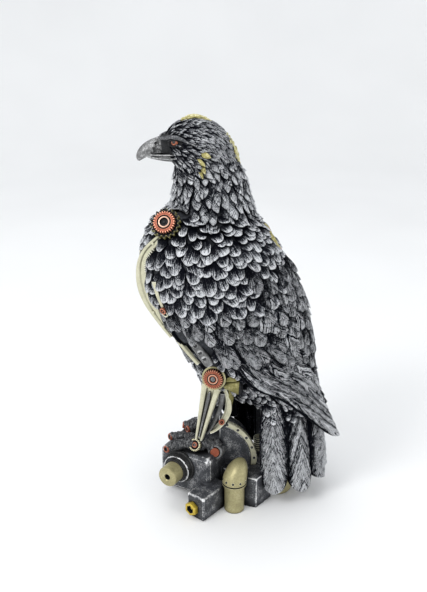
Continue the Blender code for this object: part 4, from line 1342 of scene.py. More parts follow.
    def primaries(self, coat: Coat, side: Side) -> None:
        """The long feathers that run from the knee to the tip of a folded wing."""
        count = 6
        for k in range(count):
            share = (count - 1 - k) / (count - 1)
            x = side.value
            root = units(x * (37.5 - 5 * share), 14 + 20 * share, 78 + 13 * share)
            bend = units(x * (38.5 - 6 * share), 26 + 20 * share, 66 + 14 * share)
            middle = units(x * (31 - 4 * share), 50 + 15 * share, 50.5 + 16 * share)
            tip = units(x * (16 + 2 * share), 86 - 13 * share, 14 + 32 * share)
            out = Vector((x * 0.9, 0.25 + 0.3 * share, 0.34))
            lift = out.normalized() * (0.4 + 1.4 * k) * MM
            path = [point + lift for point in (root, bend, middle, tip)]
            coat.draw(self.BLADE, path, out, 8.6 * MM, self.rng.uniform(-0.4, 0.4))

    @staticmethod
    def tail_place(degrees: float, drop: float) -> Vector:
        """A point on the cupped tail, at an angle round it from the back and a drop from 0 to 1."""
        angle = math.radians(degrees)
        spread = 0.84 + 0.16 * drop
        back = 47.5 + 4 * drop + 31.5 * spread * math.cos(angle)
        return units(27.5 * spread * math.sin(angle), back, 50 - 78 * drop)

    def tail(self) -> None:
        """The broad tail feathers and three long ones that hang down the right side."""
        coat = Coat("tail_feathers", Finishes.FLIGHT, self.skin)
        for k in range(-3, 4):
            degrees = math.copysign((0, 34, 67, 104)[abs(k)], k)
            around = math.radians(degrees)
            out = Vector((math.sin(around), math.cos(around), 0.1))
            lift = out * (0.6 + 1.5 * (abs(k) % 2)) * MM
            reach = 1.0 if abs(k) > 1 else 0.93
            path = [self.tail_place(degrees, reach * t) + lift for t in (0.0, 0.35, 0.7, 1.0)]
            coat.draw(self.TAIL, path, out, 20.5 * MM, self.rng.uniform(-0.3, 0.3))
        for y, low in ((12.5, 3.0), (21.5, -12.0), (30.5, -20.0)):
            places = ((-27, y - 4, 64), (-38.6, y - 1, 36), (-38.6, y + 1, 15), (-30, y + 5, low))
            path = [units(*place) for place in places]
            coat.draw(self.TAIL, path, Vector((-1.0, 0.15, 0.1)), 14.0 * MM, self.rng.uniform(-0.3, 0.3))
        coat.finish_coat()


@dataclass
class Head:
    """The beak, the eyes and the brows."""

    upper: tuple[tuple[float, float, float, float], ...] = (
        (-25, 260.4, 6.6, 9.6), (-30, 260.0, 6.0, 8.4), (-34.5, 259.4, 5.3, 6.9), (-38.5, 258.4, 4.9, 5.6),
        (-42, 257.0, 4.5, 4.6), (-45, 255.2, 3.9, 3.7), (-47.3, 253.0, 3.1, 2.8), (-48.6, 250.9, 2.1, 1.9),
        (-49.1, 249.2, 0.8, 0.8),
    )  # Y, height, half height and half width of the upper beak's stations
    lower: tuple[tuple[float, float, float, float], ...] = (
        (-24, 250.9, 2.8, 8.6), (-30, 250.8, 2.2, 7.2), (-36, 251.0, 1.6, 5.0), (-41, 251.7, 1.2, 3.4),
        (-44.5, 252.5, 0.7, 2.2), (-46.2, 253.0, 0.3, 1.2),
    )
    arch: Outline = mirrored(
        (0.30, -0.50), (0.49, -0.40), (0.50, -0.22), (0.45, 0.05), (0.34, 0.30), (0.18, 0.46), (0.0, 0.52)
    )
    keel: Outline = mirrored((0.50, 0.45), (0.46, 0.0), (0.28, -0.40), (0.0, -0.5))
    brow: tuple[tuple[float, float, float], ...] = (
        (6.5, -35.0, 264.4), (11.6, -31.2, 265.2), (15.2, -25.6, 266.2), (17.8, -20.8, 265.2),
        (19.2, -16.2, 263.0), (20.2, -11.0, 261.4),
    )
    eye: tuple[float, float, float] = (13.2, -25.0, 262.8)
    eye_radius: float = 2.4 * MM

    def build(self) -> None:
        """Builds the pieces."""
        self.beak()
        self.faces()

    def shell(self, bm: BMesh, rows: Sequence[Sequence[float]], outline: Outline) -> None:
        """Adds one half of the beak."""
        smooth = spaced([Vector(row) for row in rows], 3 * len(rows))
        path = [row_point(0, row[0], row[1]) for row in smooth]
        widths = [2 * row[3] * MM for row in smooth]
        heights = [2 * row[2] * MM for row in smooth]
        sweep(bm, path, Vector((0, -0.3, 1)), outline, widths, heights)

    def beak(self) -> None:
        """The hooked upper beak, the lower one, the lips, the nostrils with near-black floors, and a near-black
        bar of painted shade between the beaks.
        """
        bm = bmesh.new()
        self.shell(bm, self.upper, self.arch)
        self.shell(bm, self.lower, self.keel)
        for side in Side:
            x = side.value
            upper = ((4.6, -41.5, 253.4), (7.6, -35.0, 253.6), (11.2, -29.0, 254.2), (14.6, -23.5, 255.0))
            lower = ((4.2, -40.5, 251.8), (7.2, -34.5, 251.4), (10.6, -29.0, 251.6), (14.2, -24.0, 252.4))
            for lip, radius in ((upper, 0.5), (lower, 0.42)):
                path = spaced([row_point(x * a, b, c) for a, b, c in lip], 12)
                rod(bm, path, [radius * MM] * 11 + [0.2 * MM])
            rivet(bm, row_point(x * 5.1, -37.3, 261.0), Vector((x * 0.92, -0.2, 0.36)), 1.75 * MM, 0, 1)
        # a near-black bar between the beaks, painted shade of the mouth
        inside = ((0, -26, 252.9), (0, -36, 252.6), (0, -44, 252.8))
        path = spaced([row_point(*p) for p in inside], 8)
        widths = [m * MM for m in (17, 15.6, 13.6, 11.4, 9.2, 7.0, 4.8, 2.6)]
        sweep(bm, path, UP, round_section(10), widths, 2.6 * MM, 1)
        # painted shade: behind the nostrils the top of the beak's root is near-black, for the shade of the lore;
        # the band in front of it takes the cere's own dark grey
        for face in bm.faces:
            middle = face.calc_center_median() / MM
            if middle.y > -34.2 and middle.z > 254.6:
                face.material_index = 1
            elif middle.y > -39.0 + 0.4 * (middle.z - 258.0) and middle.z > 254.6:
                face.material_index = 2
        finish_piece("beak", bm, (Finishes.HORN, Finishes.BLACK_PAINT_AND_SHADE, Finishes.CERE), ("eagle",), 50.0)

    def faces(self) -> None:
        """The eyes with black pupils, their lids in near-black painted shade, in hollows under heavy brows."""
        eyes = bmesh.new()
        brows = bmesh.new()
        for side in Side:
            x = side.value
            eye = row_point(x * self.eye[0], self.eye[1], self.eye[2])
            ball(eyes, eye, self.eye_radius)
            glance = Vector((x * 0.93, -0.30, 0.20)).normalized()
            lathe(
                eyes,
                ((0, 0, 1), (1.15, 0, 1), (1.0, 0.32, 1), (0, 0.45, 1)),
                aligned(eye + glance * (self.eye_radius - 0.2 * MM), glance),
                18,
            )
            # the lids round each eye are near-black, painted shade of the deep-set eye
            for lift, radius in ((1.7, 0.75), (-2.5, 0.65)):
                rim = []
                for k in range(9):
                    a = math.radians(-80 + 20 * k)
                    away = x * (1.9 - 0.4 * abs(math.sin(a)))
                    rim.append(eye + Vector((away, 4.0 * math.sin(a), lift * math.cos(a))) * MM)
                rod(brows, rim, radius * MM, 1)
            ridge = spaced([row_point(x * a, b, c) for a, b, c in self.brow], 18)
            radii = [(0.6 + 0.75 * math.sin(math.pi * min(k / 13, 1))) * MM for k in range(18)]
            rod(brows, ridge, radii)
        finish_piece("eyes", eyes, (Finishes.EYE, Finishes.BLACK_PAINT_AND_SHADE), ("eagle",))
        finish_piece("brows", brows, (Finishes.RIDGE, Finishes.BLACK_PAINT_AND_SHADE), ("eagle",))


@dataclass
class Harness:
    """The brass straps, rods and gears on the shoulders, breast and back."""

    stations: tuple[tuple[float, float], ...] = (
        (46, 166), (34, 156), (27, 146), (24, 133), (24, 120), (26, 108), (32, 97),
    )  # degrees round the trunk and height of each point of a strap
    width: float = 6.8 * MM
    thickness: float = 2.6 * MM
    proud: float = 2.4
    shoulder: tuple[float, float, float] = (31.5, -31, 175)
    aim: tuple[float, float, float] = (0.84, -0.22, 0.5)
    wheel_radius: float = 9.8 * MM
    wheel_height: float = 3.6 * MM
    gear_radius: float = 7.1 * MM
    gear_height: float = 2.4 * MM
    section: tuple[tuple[float, float], ...] = (
        (-0.50, -0.50), (0.50, -0.50), (0.52, -0.05), (0.44, 0.34), (0.28, 0.50), (0.12, 0.36),
        (0.05, 0.02), (-0.03, 0.02), (-0.08, 0.26), (-0.42, 0.30), (-0.50, 0.12),
    )  # a rounded ridge, a groove and a flat band, across and outward

    def build(self) -> None:
        """Builds the pieces."""
        for side in Side:
            self.strap(side)
        self.gears()
        self.link()
        self.spine()
        self.gilding()

    def course(self, side: Side, count: int) -> tuple[list[Vector], list[Vector], list[Vector]]:
        """Points along a strap: on the body, where the strap's middle lies, and their outward directions."""
        lean = Vector((side.value * 0.7, 0.0, 0.0))
        stations = spaced([Vector(station) for station in self.stations], count)
        spots = [TRUNK.spot(side.value * degrees, height, self.proud) for degrees, height in stations]
        middles = [spot + normal * 0.8 * MM for spot, normal in spots]
        return [spot for spot, _ in spots], middles, [(normal + lean).normalized() for _, normal in spots]

    def strap(self, side: Side) -> None:
        """A strap with a rack along its inner edge and rivets down its groove."""
        bm = bmesh.new()
        count = 40
        _, path, normals = self.course(side, count)
        outline = [(side.value * x, y) for x, y in self.section]
        if side is Side.RIGHT:
            outline.reverse()
        shares = [k / (count - 1) for k in range(count)]
        swell = [0.5 + 0.5 * math.sin(math.pi * share**0.7) for share in shares]
        widths = [self.width * s * (1.0 + 0.9 * ease(0.25, 0.6, share)) for s, share in zip(swell, shares)]
        sweep(bm, path, normals, outline, widths, self.thickness)
        teeth = 46
        spots, path, normals = self.course(side, teeth)
        for k in range(5, 27):
            here, normal = path[k], normals[k]
            along = (spots[k + 1] - spots[k - 1]).normalized()
            inward = normal.cross(along).normalized() * side.value
            reach = 0.5 * float(np.interp(k / (teeth - 1), np.linspace(0, 1, count), widths)) + 0.4 * MM
            part = bmesh.new()
            seat = aligned(here + inward * reach + normal * 0.3 * MM, normal, along)
            shape = Matrix.Diagonal((1.5 * MM, 0.75 * MM, 1.6 * MM, 1))
            bmesh.ops.create_cube(part, size=1.0, matrix=seat @ shape)
            bmesh.ops.bevel(
                part, geom=part.edges[:], offset=0.16 * MM, segments=1, affect="EDGES", profile=0.5
            )
            join(bm, part)
        for k in (4, 34, 40):
            rivet(bm, path[k] + normals[k] * 1.2 * MM, normals[k], 1.0 * MM)
        name = f"wing_strap_{side.name.lower()}"
        finish_piece(name, bm, (Finishes.PALE_BRASS,))

    def gears(self) -> None:
        """The copper gear on its brass wheel, on the left shoulder."""
        frame_here = aligned(units(*self.shoulder), Vector(self.aim))
        wheel = bmesh.new()
        rings = ((0.83, 0.95, 1), (0.80, 0.70, 1), (0.30, 0.70, 1), (0.20, 0.72, 1))
        GearCut(self.wheel_radius, self.wheel_height, 18, 0.86, rings).cut(wheel, frame_here)
        finish_piece("shoulder_wheel", wheel, (Finishes.OLIVE, Finishes.BLACK_PAINT_AND_SHADE))
        gear = bmesh.new()
        rings = (
            (0.80, 1.0, 0), (0.66, 1.0, 0), (0.62, 0.62, 1), (0.54, 0.62, 1), (0.51, 1.0, 2),
            (0.40, 1.05, 2), (0.36, 0.55, 1), (0.12, 0.55, 1), (0.08, 0.85, 1),
        )
        seat = frame_here @ moved(z=self.wheel_height + 0.3 * MM)
        GearCut(self.gear_radius, self.gear_height, 26, 0.84, rings).cut(gear, seat)
        finish_piece("shoulder_gear", gear, (Finishes.COPPER, Finishes.BLACK_PAINT_AND_SHADE, Finishes.PALE_COPPER))

    def link(self) -> None:
        """The bar from the strap to a copper ball."""
        bm = bmesh.new()
        ends = [TRUNK.spot(d, h, 4.3) for d, h in ((44, 139), (45, 129), (46, 119))]
        path = spaced([spot for spot, _ in ends], 12)
        widths = [(3.9 - 1.7 * k / 11) * MM for k in range(12)]
        sweep(bm, path, ends[1][1], bevelled(0.2, 0.2), widths, 2.0 * MM)
        spot, normal = TRUNK.spot(46.5, 121, 5.0)
        rings = ((0.6, 1.0, 1), (0.5, 0.7, 2), (0.3, 0.7, 2), (0.2, 1.1, 1))
        GearCut(2.3 * MM, 1.6 * MM, 12, 0.84, rings, 1).cut(bm, aligned(spot, normal))
        facing = aligned(Vector(), normal)
        angles = [math.pi * k / 5 for k in range(11)]
        bends = [facing @ Vector((2.2 * math.sin(a), -2.9 - 2.2 * math.cos(a), 0)) for a in angles]
        loop = [spot + bend * MM for bend in bends]
        rod(bm, loop, 0.5 * MM)
        finish_piece("link_rod", bm, (Finishes.PALE_BRASS, Finishes.COPPER, Finishes.BLACK_PAINT_AND_SHADE))

    def spine(self) -> None:
        """The ridge of brass plates and copper rivets down the back."""
        bm = bmesh.new()
        count = 13
        for k in range(count):
            steps = (k - 0.5, k, k + 0.5)
            places = [TRUNK.spot(180, 162 - 86 * step / (count - 1), 1.2) for step in steps]
            here, normal = places[1]
            wide = (7.4 if k % 3 == 0 else 5.8) * MM
            path = spaced([spot for spot, _ in places], 8)
            swell = [0.72, 0.92, 1.0, 1.0, 1.0, 1.0, 0.92, 0.72]
            outline = mirrored((0.5, -0.5), (0.5, -0.1), (0.3, 0.32), (0.1, 0.45))
            outline = (outline[-1], *outline[:-1])
            sweep(bm, path, normal, outline, [wide * s for s in swell], [4.2 * MM * s for s in swell])
            for side in Side:
                if k % 2 == 0:
                    edge = here + Vector((side.value * wide * 0.36, 0, 0)) + normal * 1.0 * MM
                    rivet(bm, edge, (normal + Vector((side.value * 0.9, 0, 0))).normalized(), 1.25 * MM, 1)
        finish_piece("spine_rod", bm, (Finishes.GILT, Finishes.COPPER))

    def gilding(self) -> None:
        """The rough gilt patches on the crown and the nape."""
        rng = random.Random(5)
        crown = bmesh.new()
        rows = [(-21, 236.4), (-15, 239), (-8, 238.8), (-2, 235.6)]
        path = spaced([units(0, y, h) for y, h in rows], 14)
        path = [point - Vector((0, 0, 0.9 * MM)) for point in path]
        self.patch(crown, path, Vector((0, 0.1, 1)), 9.0 * MM, 1.4 * MM, rng)
        finish_piece("crown_plate", crown, (Finishes.GILT,), crease=60.0)
        nape = bmesh.new()
        spots = [HEAD.spot(170, h, -1.4) for h in (229, 222, 215, 209, 203.5)]
        path = spaced([spot for spot, _ in spots], 16)
        self.patch(nape, path, Vector((0.2, 1, 0.25)), 11.0 * MM, 2.0 * MM, rng)
        finish_piece("nape_plate", nape, (Finishes.GILT,), crease=60.0)

    def patch(
        self,
        bm: BMesh,
        path: Sequence[Vector],
        normal: Vector,
        width: float,
        height: float,
        rng: random.Random,
    ) -> None:
        """Adds a band with ragged lumps on it."""
        count = len(path)
        ends = (0, count - 1)
        widths = [width * (0.75 + 0.35 * rng.random()) * (0.6 if k in ends else 1) for k in range(count)]
        sweep(bm, path, normal, bevelled(0.0, 0.25, 0.45), widths, height)
        for k in range(1, count - 1):
            for _ in range(4):
                along = (path[k + 1] - path[k - 1]).normalized()
                across = along.cross(normal).normalized()
                spot = path[k] + across * rng.uniform(-0.42, 0.42) * width
                spot += normal.normalized() * 0.35 * height
                turn = aligned(Vector(), normal + across * rng.uniform(-0.5, 0.5), along)
                shape = turn @ turned(rng.uniform(-0.5, 0.5)) @ Matrix.Diagonal((0.62, 1.25, 0.5, 1))
                ball(bm, spot, rng.uniform(0.8, 1.5) * MM, shape)


@dataclass
class LeftLeg:
    """The brass and copper leg on the left."""

    knee: tuple[float, float, float] = (20, 1, 67)
    ankle: tuple[float, float, float] = (14, -9, 11)
    knee_seat: tuple[float, float, float] = (31.5, 0, 68)
    knee_aim: tuple[float, float, float] = (0.95, -0.28, 0.12)
    ankle_seat: tuple[float, float, float] = (17.5, -13.5, 6.5)
    ankle_aim: tuple[float, float, float] = (0.78, -0.42, 0.46)
    wheel_radius: float = 8.6 * MM
    wheel_height: float = 4.2 * MM
    gear_radius: float = 6.8 * MM
    gear_height: float = 2.2 * MM

    def build(self) -> None:
        """Builds the pieces."""
        self.thigh()
        self.knee_joint()
        self.shin()
        self.bow()
        self.ankle_joint()

    def thigh(self) -> None:
        """The drilled plate and the rod above the knee."""
        plate = bmesh.new()
        normal = Vector((0.90, -0.36, 0.22)).normalized()
        places = ((37.0, -14.5, 135), (38.4, -8.6, 126.0), (38.2, -3.6, 118.6))
        path = spaced([row_point(*place) for place in places], 14)
        swell = [0.55, 0.85, 1.0, 1.0, 0.95, 0.92, 0.95, 1.0, 1.0, 1.0, 1.0, 1.0, 0.9, 0.7]
        sweep(plate, path, normal, bevelled(0.2, 0.40), [6.4 * MM * s for s in swell], 2.4 * MM)
        for share in (0.22, 0.44, 0.68):
            here = path[int(share * 13)]
            drilled(plate, here + normal * 1.2 * MM, normal, 1.3 * MM, 1)
        finish_piece("thigh_plate", plate, (Finishes.STEEL, Finishes.BLACK_PAINT_AND_SHADE))
        bar = bmesh.new()
        spots = [TRUNK.spot(d, h, 2.2) for d, h in ((33, 95), (37, 86), (43, 77))]
        path = spaced([spot for spot, _ in spots], 14)
        outline = ((-0.5, -0.5), (0.5, -0.5), (0.5, 0.1), (0.3, 0.42), (0, 0.5), (-0.3, 0.42), (-0.5, 0.1))
        sweep(bar, path, spots[1][1], outline, 3.4 * MM, 2.8 * MM)
        finish_piece("thigh_rod", bar, (Finishes.PALE_BRASS,))

    def knee_joint(self) -> None:
        """The wheel, the copper gear and the cup behind them."""
        seat = aligned(units(*self.knee_seat), Vector(self.knee_aim))
        wheel = bmesh.new()
        r, h = self.wheel_radius, self.wheel_height
        shape = (
            (0, 0, 1), (0.95, 0, 0), (1, 0.08, 0), (1, 0.22, 0), (0.9, 0.30, 1), (0.9, 0.70, 1),
            (0.97, 0.76, 0), (0.97, 0.94, 0), (0.9, 1, 0), (0.84, 1, 0), (0.82, 0.9, 1), (0, 0.9, 1),
        )
        profile = [(a * r, b * h, material) for a, b, material in shape]
        lathe(wheel, profile, seat, 48, 1.0)
        finish_piece("knee_wheel", wheel, (Finishes.BRASS, Finishes.BLACK_PAINT_AND_SHADE))
        gear = bmesh.new()
        rings = (
            (0.74, 1.0, 0), (0.70, 1.04, 0), (0.60, 0.98, 0), (0.56, 0.5, 1), (0.52, 0.5, 1),
            (0.49, 0.95, 0), (0.40, 1.0, 2), (0.33, 0.95, 0), (0.30, 0.5, 1), (0.25, 0.5, 1),
            (0.22, 0.85, 3), (0.10, 0.98, 3),
        )
        above = seat @ moved(z=h + 0.3 * MM)
        GearCut(self.gear_radius, self.gear_height, 26, 0.80, rings).cut(gear, above)
        finishes = (Finishes.COPPER, Finishes.BLACK_PAINT_AND_SHADE, Finishes.PALE_COPPER, Finishes.STEEL)
        finish_piece("knee_gear", gear, finishes)
        cup = bmesh.new()
        start = row_point(31.0, 6.4, 101.5)
        ahead = Vector((0.16, 0.95, -0.06))
        profile = ((0, 0, 0), (3.2, 0, 0), (4.0, 1.0, 0), (5.9, 8.0, 0), (6.4, 9.4, 0), (6.5, 10.6, 0))
        profile += ((5.8, 11.8, 1), (3.6, 12.8, 1), (0, 13.0, 1))
        lathe(cup, profile, aligned(start, ahead), 40)
        wedge = [row_point(35.0, 5.5, 105.0), row_point(37.0, 10.5, 107.4), row_point(37.5, 14.5, 107.6)]
        path = spaced(wedge, 8)
        widths = [m * MM for m in (1.2, 1.8, 2.4, 3.0, 3.4, 3.4, 3.0, 2.0)]
        sweep(cup, path, Vector((0.95, 0, 0.3)), bevelled(0.3, 0.2), widths, 2.0 * MM)
        finish_piece("knee_cap", cup, (Finishes.OLIVE, Finishes.BLACK_PAINT_AND_SHADE))

    def shin(self) -> None:
        """The grooved shin, with a dark rib between two flanges."""
        bm = bmesh.new()
        top = units(*self.knee) - Vector((0, 1, self.wheel_radius / MM + 0.5)) * MM
        low = units(*self.ankle) + Vector((0, 0, 1.5)) * MM
        outward = Vector((0.93, -0.33, 0.1)).normalized()
        start, end = top + outward * 6.8 * MM, low + outward * 6.4 * MM
        count = 20
        path = [start.lerp(end, k / (count - 1)) for k in range(count)]
        shares = [k / (count - 1) for k in range(count)]
        taper = [(14.0 - 8.6 * s**0.9) * MM for s in shares]
        channel = (
            (-0.50, -0.50), (0.50, -0.50),
            *mirrored((0.52, 0.10), (0.46, 0.42), (0.34, 0.50), (0.22, 0.34), (0.17, -0.05)),
        )
        sweep(bm, path, outward, channel, taper, 4.2 * MM)
        rib = [point + outward * 0.5 * MM for point in path[2:19]]
        thin = [min(1.0, 0.35 + 0.4 * k) * 0.25 * taper[k + 2] for k in range(17)]
        sweep(bm, rib, outward, round_section(12), thin, 2.6 * MM, 1)
        # thin near-black lines along the flanges' edges, painted shade of the grooves there
        for side in Side:
            across = (end - start).normalized().cross(outward).normalized() * side.value
            edge = [spot + across * 0.195 * wide + outward * 0.2 * MM for spot, wide in zip(path, taper)]
            rod(bm, edge, 0.28 * MM, 2, 8)
        finish_piece("shin_plate", bm, (Finishes.PALE_BRASS, Finishes.STEEL, Finishes.BLACK_PAINT_AND_SHADE))
        bar = bmesh.new()
        front = ((21.5, 5.5, 50), (20.5, 4.0, 38), (17.5, -0.5, 24), (15.5, -5.0, 15))
        widths = [m * MM for m in np.linspace(4.2, 1.8, 14)]
        path = spaced([units(*p) for p in front], 14)
        sweep(bar, path, Vector((0.97, 0.1, 0)), round_section(10), widths, 3.0 * MM)
        # the bar behind is the darker olive brass, painted shade for where it lies behind the leg
        path = spaced([units(22, 12.0, 57), units(20, 11.5, 46), units(17, 10.0, 36)], 12)
        sweep(bar, path, Vector((0.97, 0.2, 0)), round_section(10), 4.6 * MM, 4.0 * MM, 1)
        finish_piece("leg_bars", bar, (Finishes.STEEL, Finishes.OLIVE), ("eagle",))

    def bow(self) -> None:
        """The bowed strip behind the shin, with its copper rivet."""
        bm = bmesh.new()
        points = ((20.5, 7.0, 53), (20.5, 9.6, 44), (20.0, 9.8, 35), (18.5, 6.4, 26), (16.5, 1.4, 19))
        points += ((15.5, -3.0, 16),)
        path = spaced([units(*p) for p in points], 26)
        outline = ((-0.5, -0.5), (0.5, -0.5), (0.5, 0.2), (0.36, 0.5), (0.1, 0.36), (-0.36, 0.5))
        outline += ((-0.5, 0.2),)
        widths = [(2.6 + 1.9 * math.sin(math.pi * min(k / 20, 1))) * MM for k in range(26)]
        sweep(bm, path, Vector((0.97, 0.2, 0)), outline, widths, 3.0 * MM)
        spot = row_point(20.8, 5.0, 65.8)
        profile = ((0, 0, 1), (2.1, 0, 1), (2.2, 1.0, 1), (1.7, 1.5, 1), (1.1, 1.3, 1), (0.9, 0.6, 2))
        profile += ((0.4, 0.6, 2), (0, 1.1, 1))
        lathe(bm, profile, aligned(spot, Vector((0.96, 0.05, 0.28))), 20)
        finish_piece("calf_bow", bm, (Finishes.PALE_BRASS, Finishes.COPPER, Finishes.BLACK_PAINT_AND_SHADE))

    def ankle_joint(self) -> None:
        """The small gear at the ankle."""
        bm = bmesh.new()
        rings = (
            (0.78, 1.0, 0), (0.74, 1.0, 0), (0.70, 0.45, 1), (0.46, 0.45, 1), (0.42, 0.95, 2),
            (0.26, 1.1, 2), (0.22, 0.8, 3), (0.12, 0.9, 3),
        )
        seat = aligned(units(*self.ankle_seat), Vector(self.ankle_aim))
        GearCut(4.7 * MM, 2.3 * MM, 20, 0.82, rings).cut(bm, seat)
        finish_piece("ankle_gear", bm, (Finishes.BRASS, Finishes.BLACK_PAINT_AND_SHADE, Finishes.COPPER, Finishes.STEEL))


@dataclass
class Feet:
    """The toes of both feet, with copper ends."""

    ankles: tuple[tuple[float, float, float], ...] = ((1, 14, -9), (-1, -16, 4))  # side, X and Y
    pad_height: float = 5.0
    toes: tuple[tuple[float, float, float, bool], ...] = (
        (-24, 24.5, 6.2, True), (4, 25.5, 2.9, True), (180, 15, 1.5, False),
    )  # heading in degrees, length, height of the tip, and whether the tip is copper

    def scales(self, bm: BMesh, path: Sequence[Vector], radii: Sequence[float]) -> None:
        """Adds small uneven lumps over a toe."""
        rng = random.Random(len(bm.verts))
        for k in range(1, len(path) - 2):
            along = (path[k + 1] - path[k - 1]).normalized()
            upward = (Vector((0, 0, 1)) - along * along.z).normalized()
            for _ in range(4):
                outward = Matrix.Rotation(rng.uniform(-1.5, 1.5), 3, along) @ upward
                seat = aligned(Vector((0, 0, 0)), outward, along) @ turned(rng.uniform(-0.5, 0.5))
                shape = seat @ Matrix.Diagonal((rng.uniform(0.8, 1.5), rng.uniform(0.6, 0.9), 0.55, 1))
                spot = path[k].lerp(path[k + 1], rng.random()) + outward * radii[k] * 0.97
                ball(bm, spot, rng.uniform(0.7, 1.05) * MM, shape, 2)

    def build(self) -> None:
        """Builds the pieces."""
        toes = bmesh.new()
        tips = bmesh.new()
        for side, x, y in self.ankles:
            for heading, length, height, copper in self.toes:
                turn = math.radians(side * heading)
                ahead = Vector((math.sin(turn), -math.cos(turn), 0))
                start = units(x, y, self.pad_height)
                end = units(x, y, height) + ahead * length * MM
                knuckle = start.lerp(end, 0.5) + Vector((0, 0, 2.4 * MM))
                path = spaced([start, knuckle, end], 30)
                swell = [0.45 * math.cos(6 * math.pi * k / 29) for k in range(30)]
                radii = [(4.6 - 1.9 * k / 29 + swell[k]) * MM for k in range(30)]
                rod(toes, path, radii, 0, 16)
                self.scales(toes, path, radii)
                if not copper:
                    continue
                facing = ahead + Vector((0.9 if side > 0 else 0.0, 0, 0.1))
                tip = aligned(end - ahead * 0.6 * MM, facing.normalized())
                ring = ((0, 0, 0), (2.7, 0, 0), (2.7, 1.8, 0), (2.3, 2.4, 0), (1.6, 2.3, 0), (1.1, 1.5, 1))
                ring += ((0, 1.4, 1),)
                lathe(tips, ring, tip, 20)
            aside = x + side * 2.2
            outer = [units(x, y, 9), units(aside, y + 4.0, 6.5), units(aside, y + 8.0, 2.0)]
            path = spaced(outer, 16)
            radii = [(3.6 - 0.9 * k / 15) * MM for k in range(16)]
            rod(toes, path, radii, 0, 16)
            self.scales(toes, path, radii)
        finish_piece("toes", toes, (Finishes.SKIN,), ("eagle",), 60.0)
        finish_piece("toe_tips", tips, (Finishes.COPPER, Finishes.BLACK_PAINT_AND_SHADE), ("eagle",))


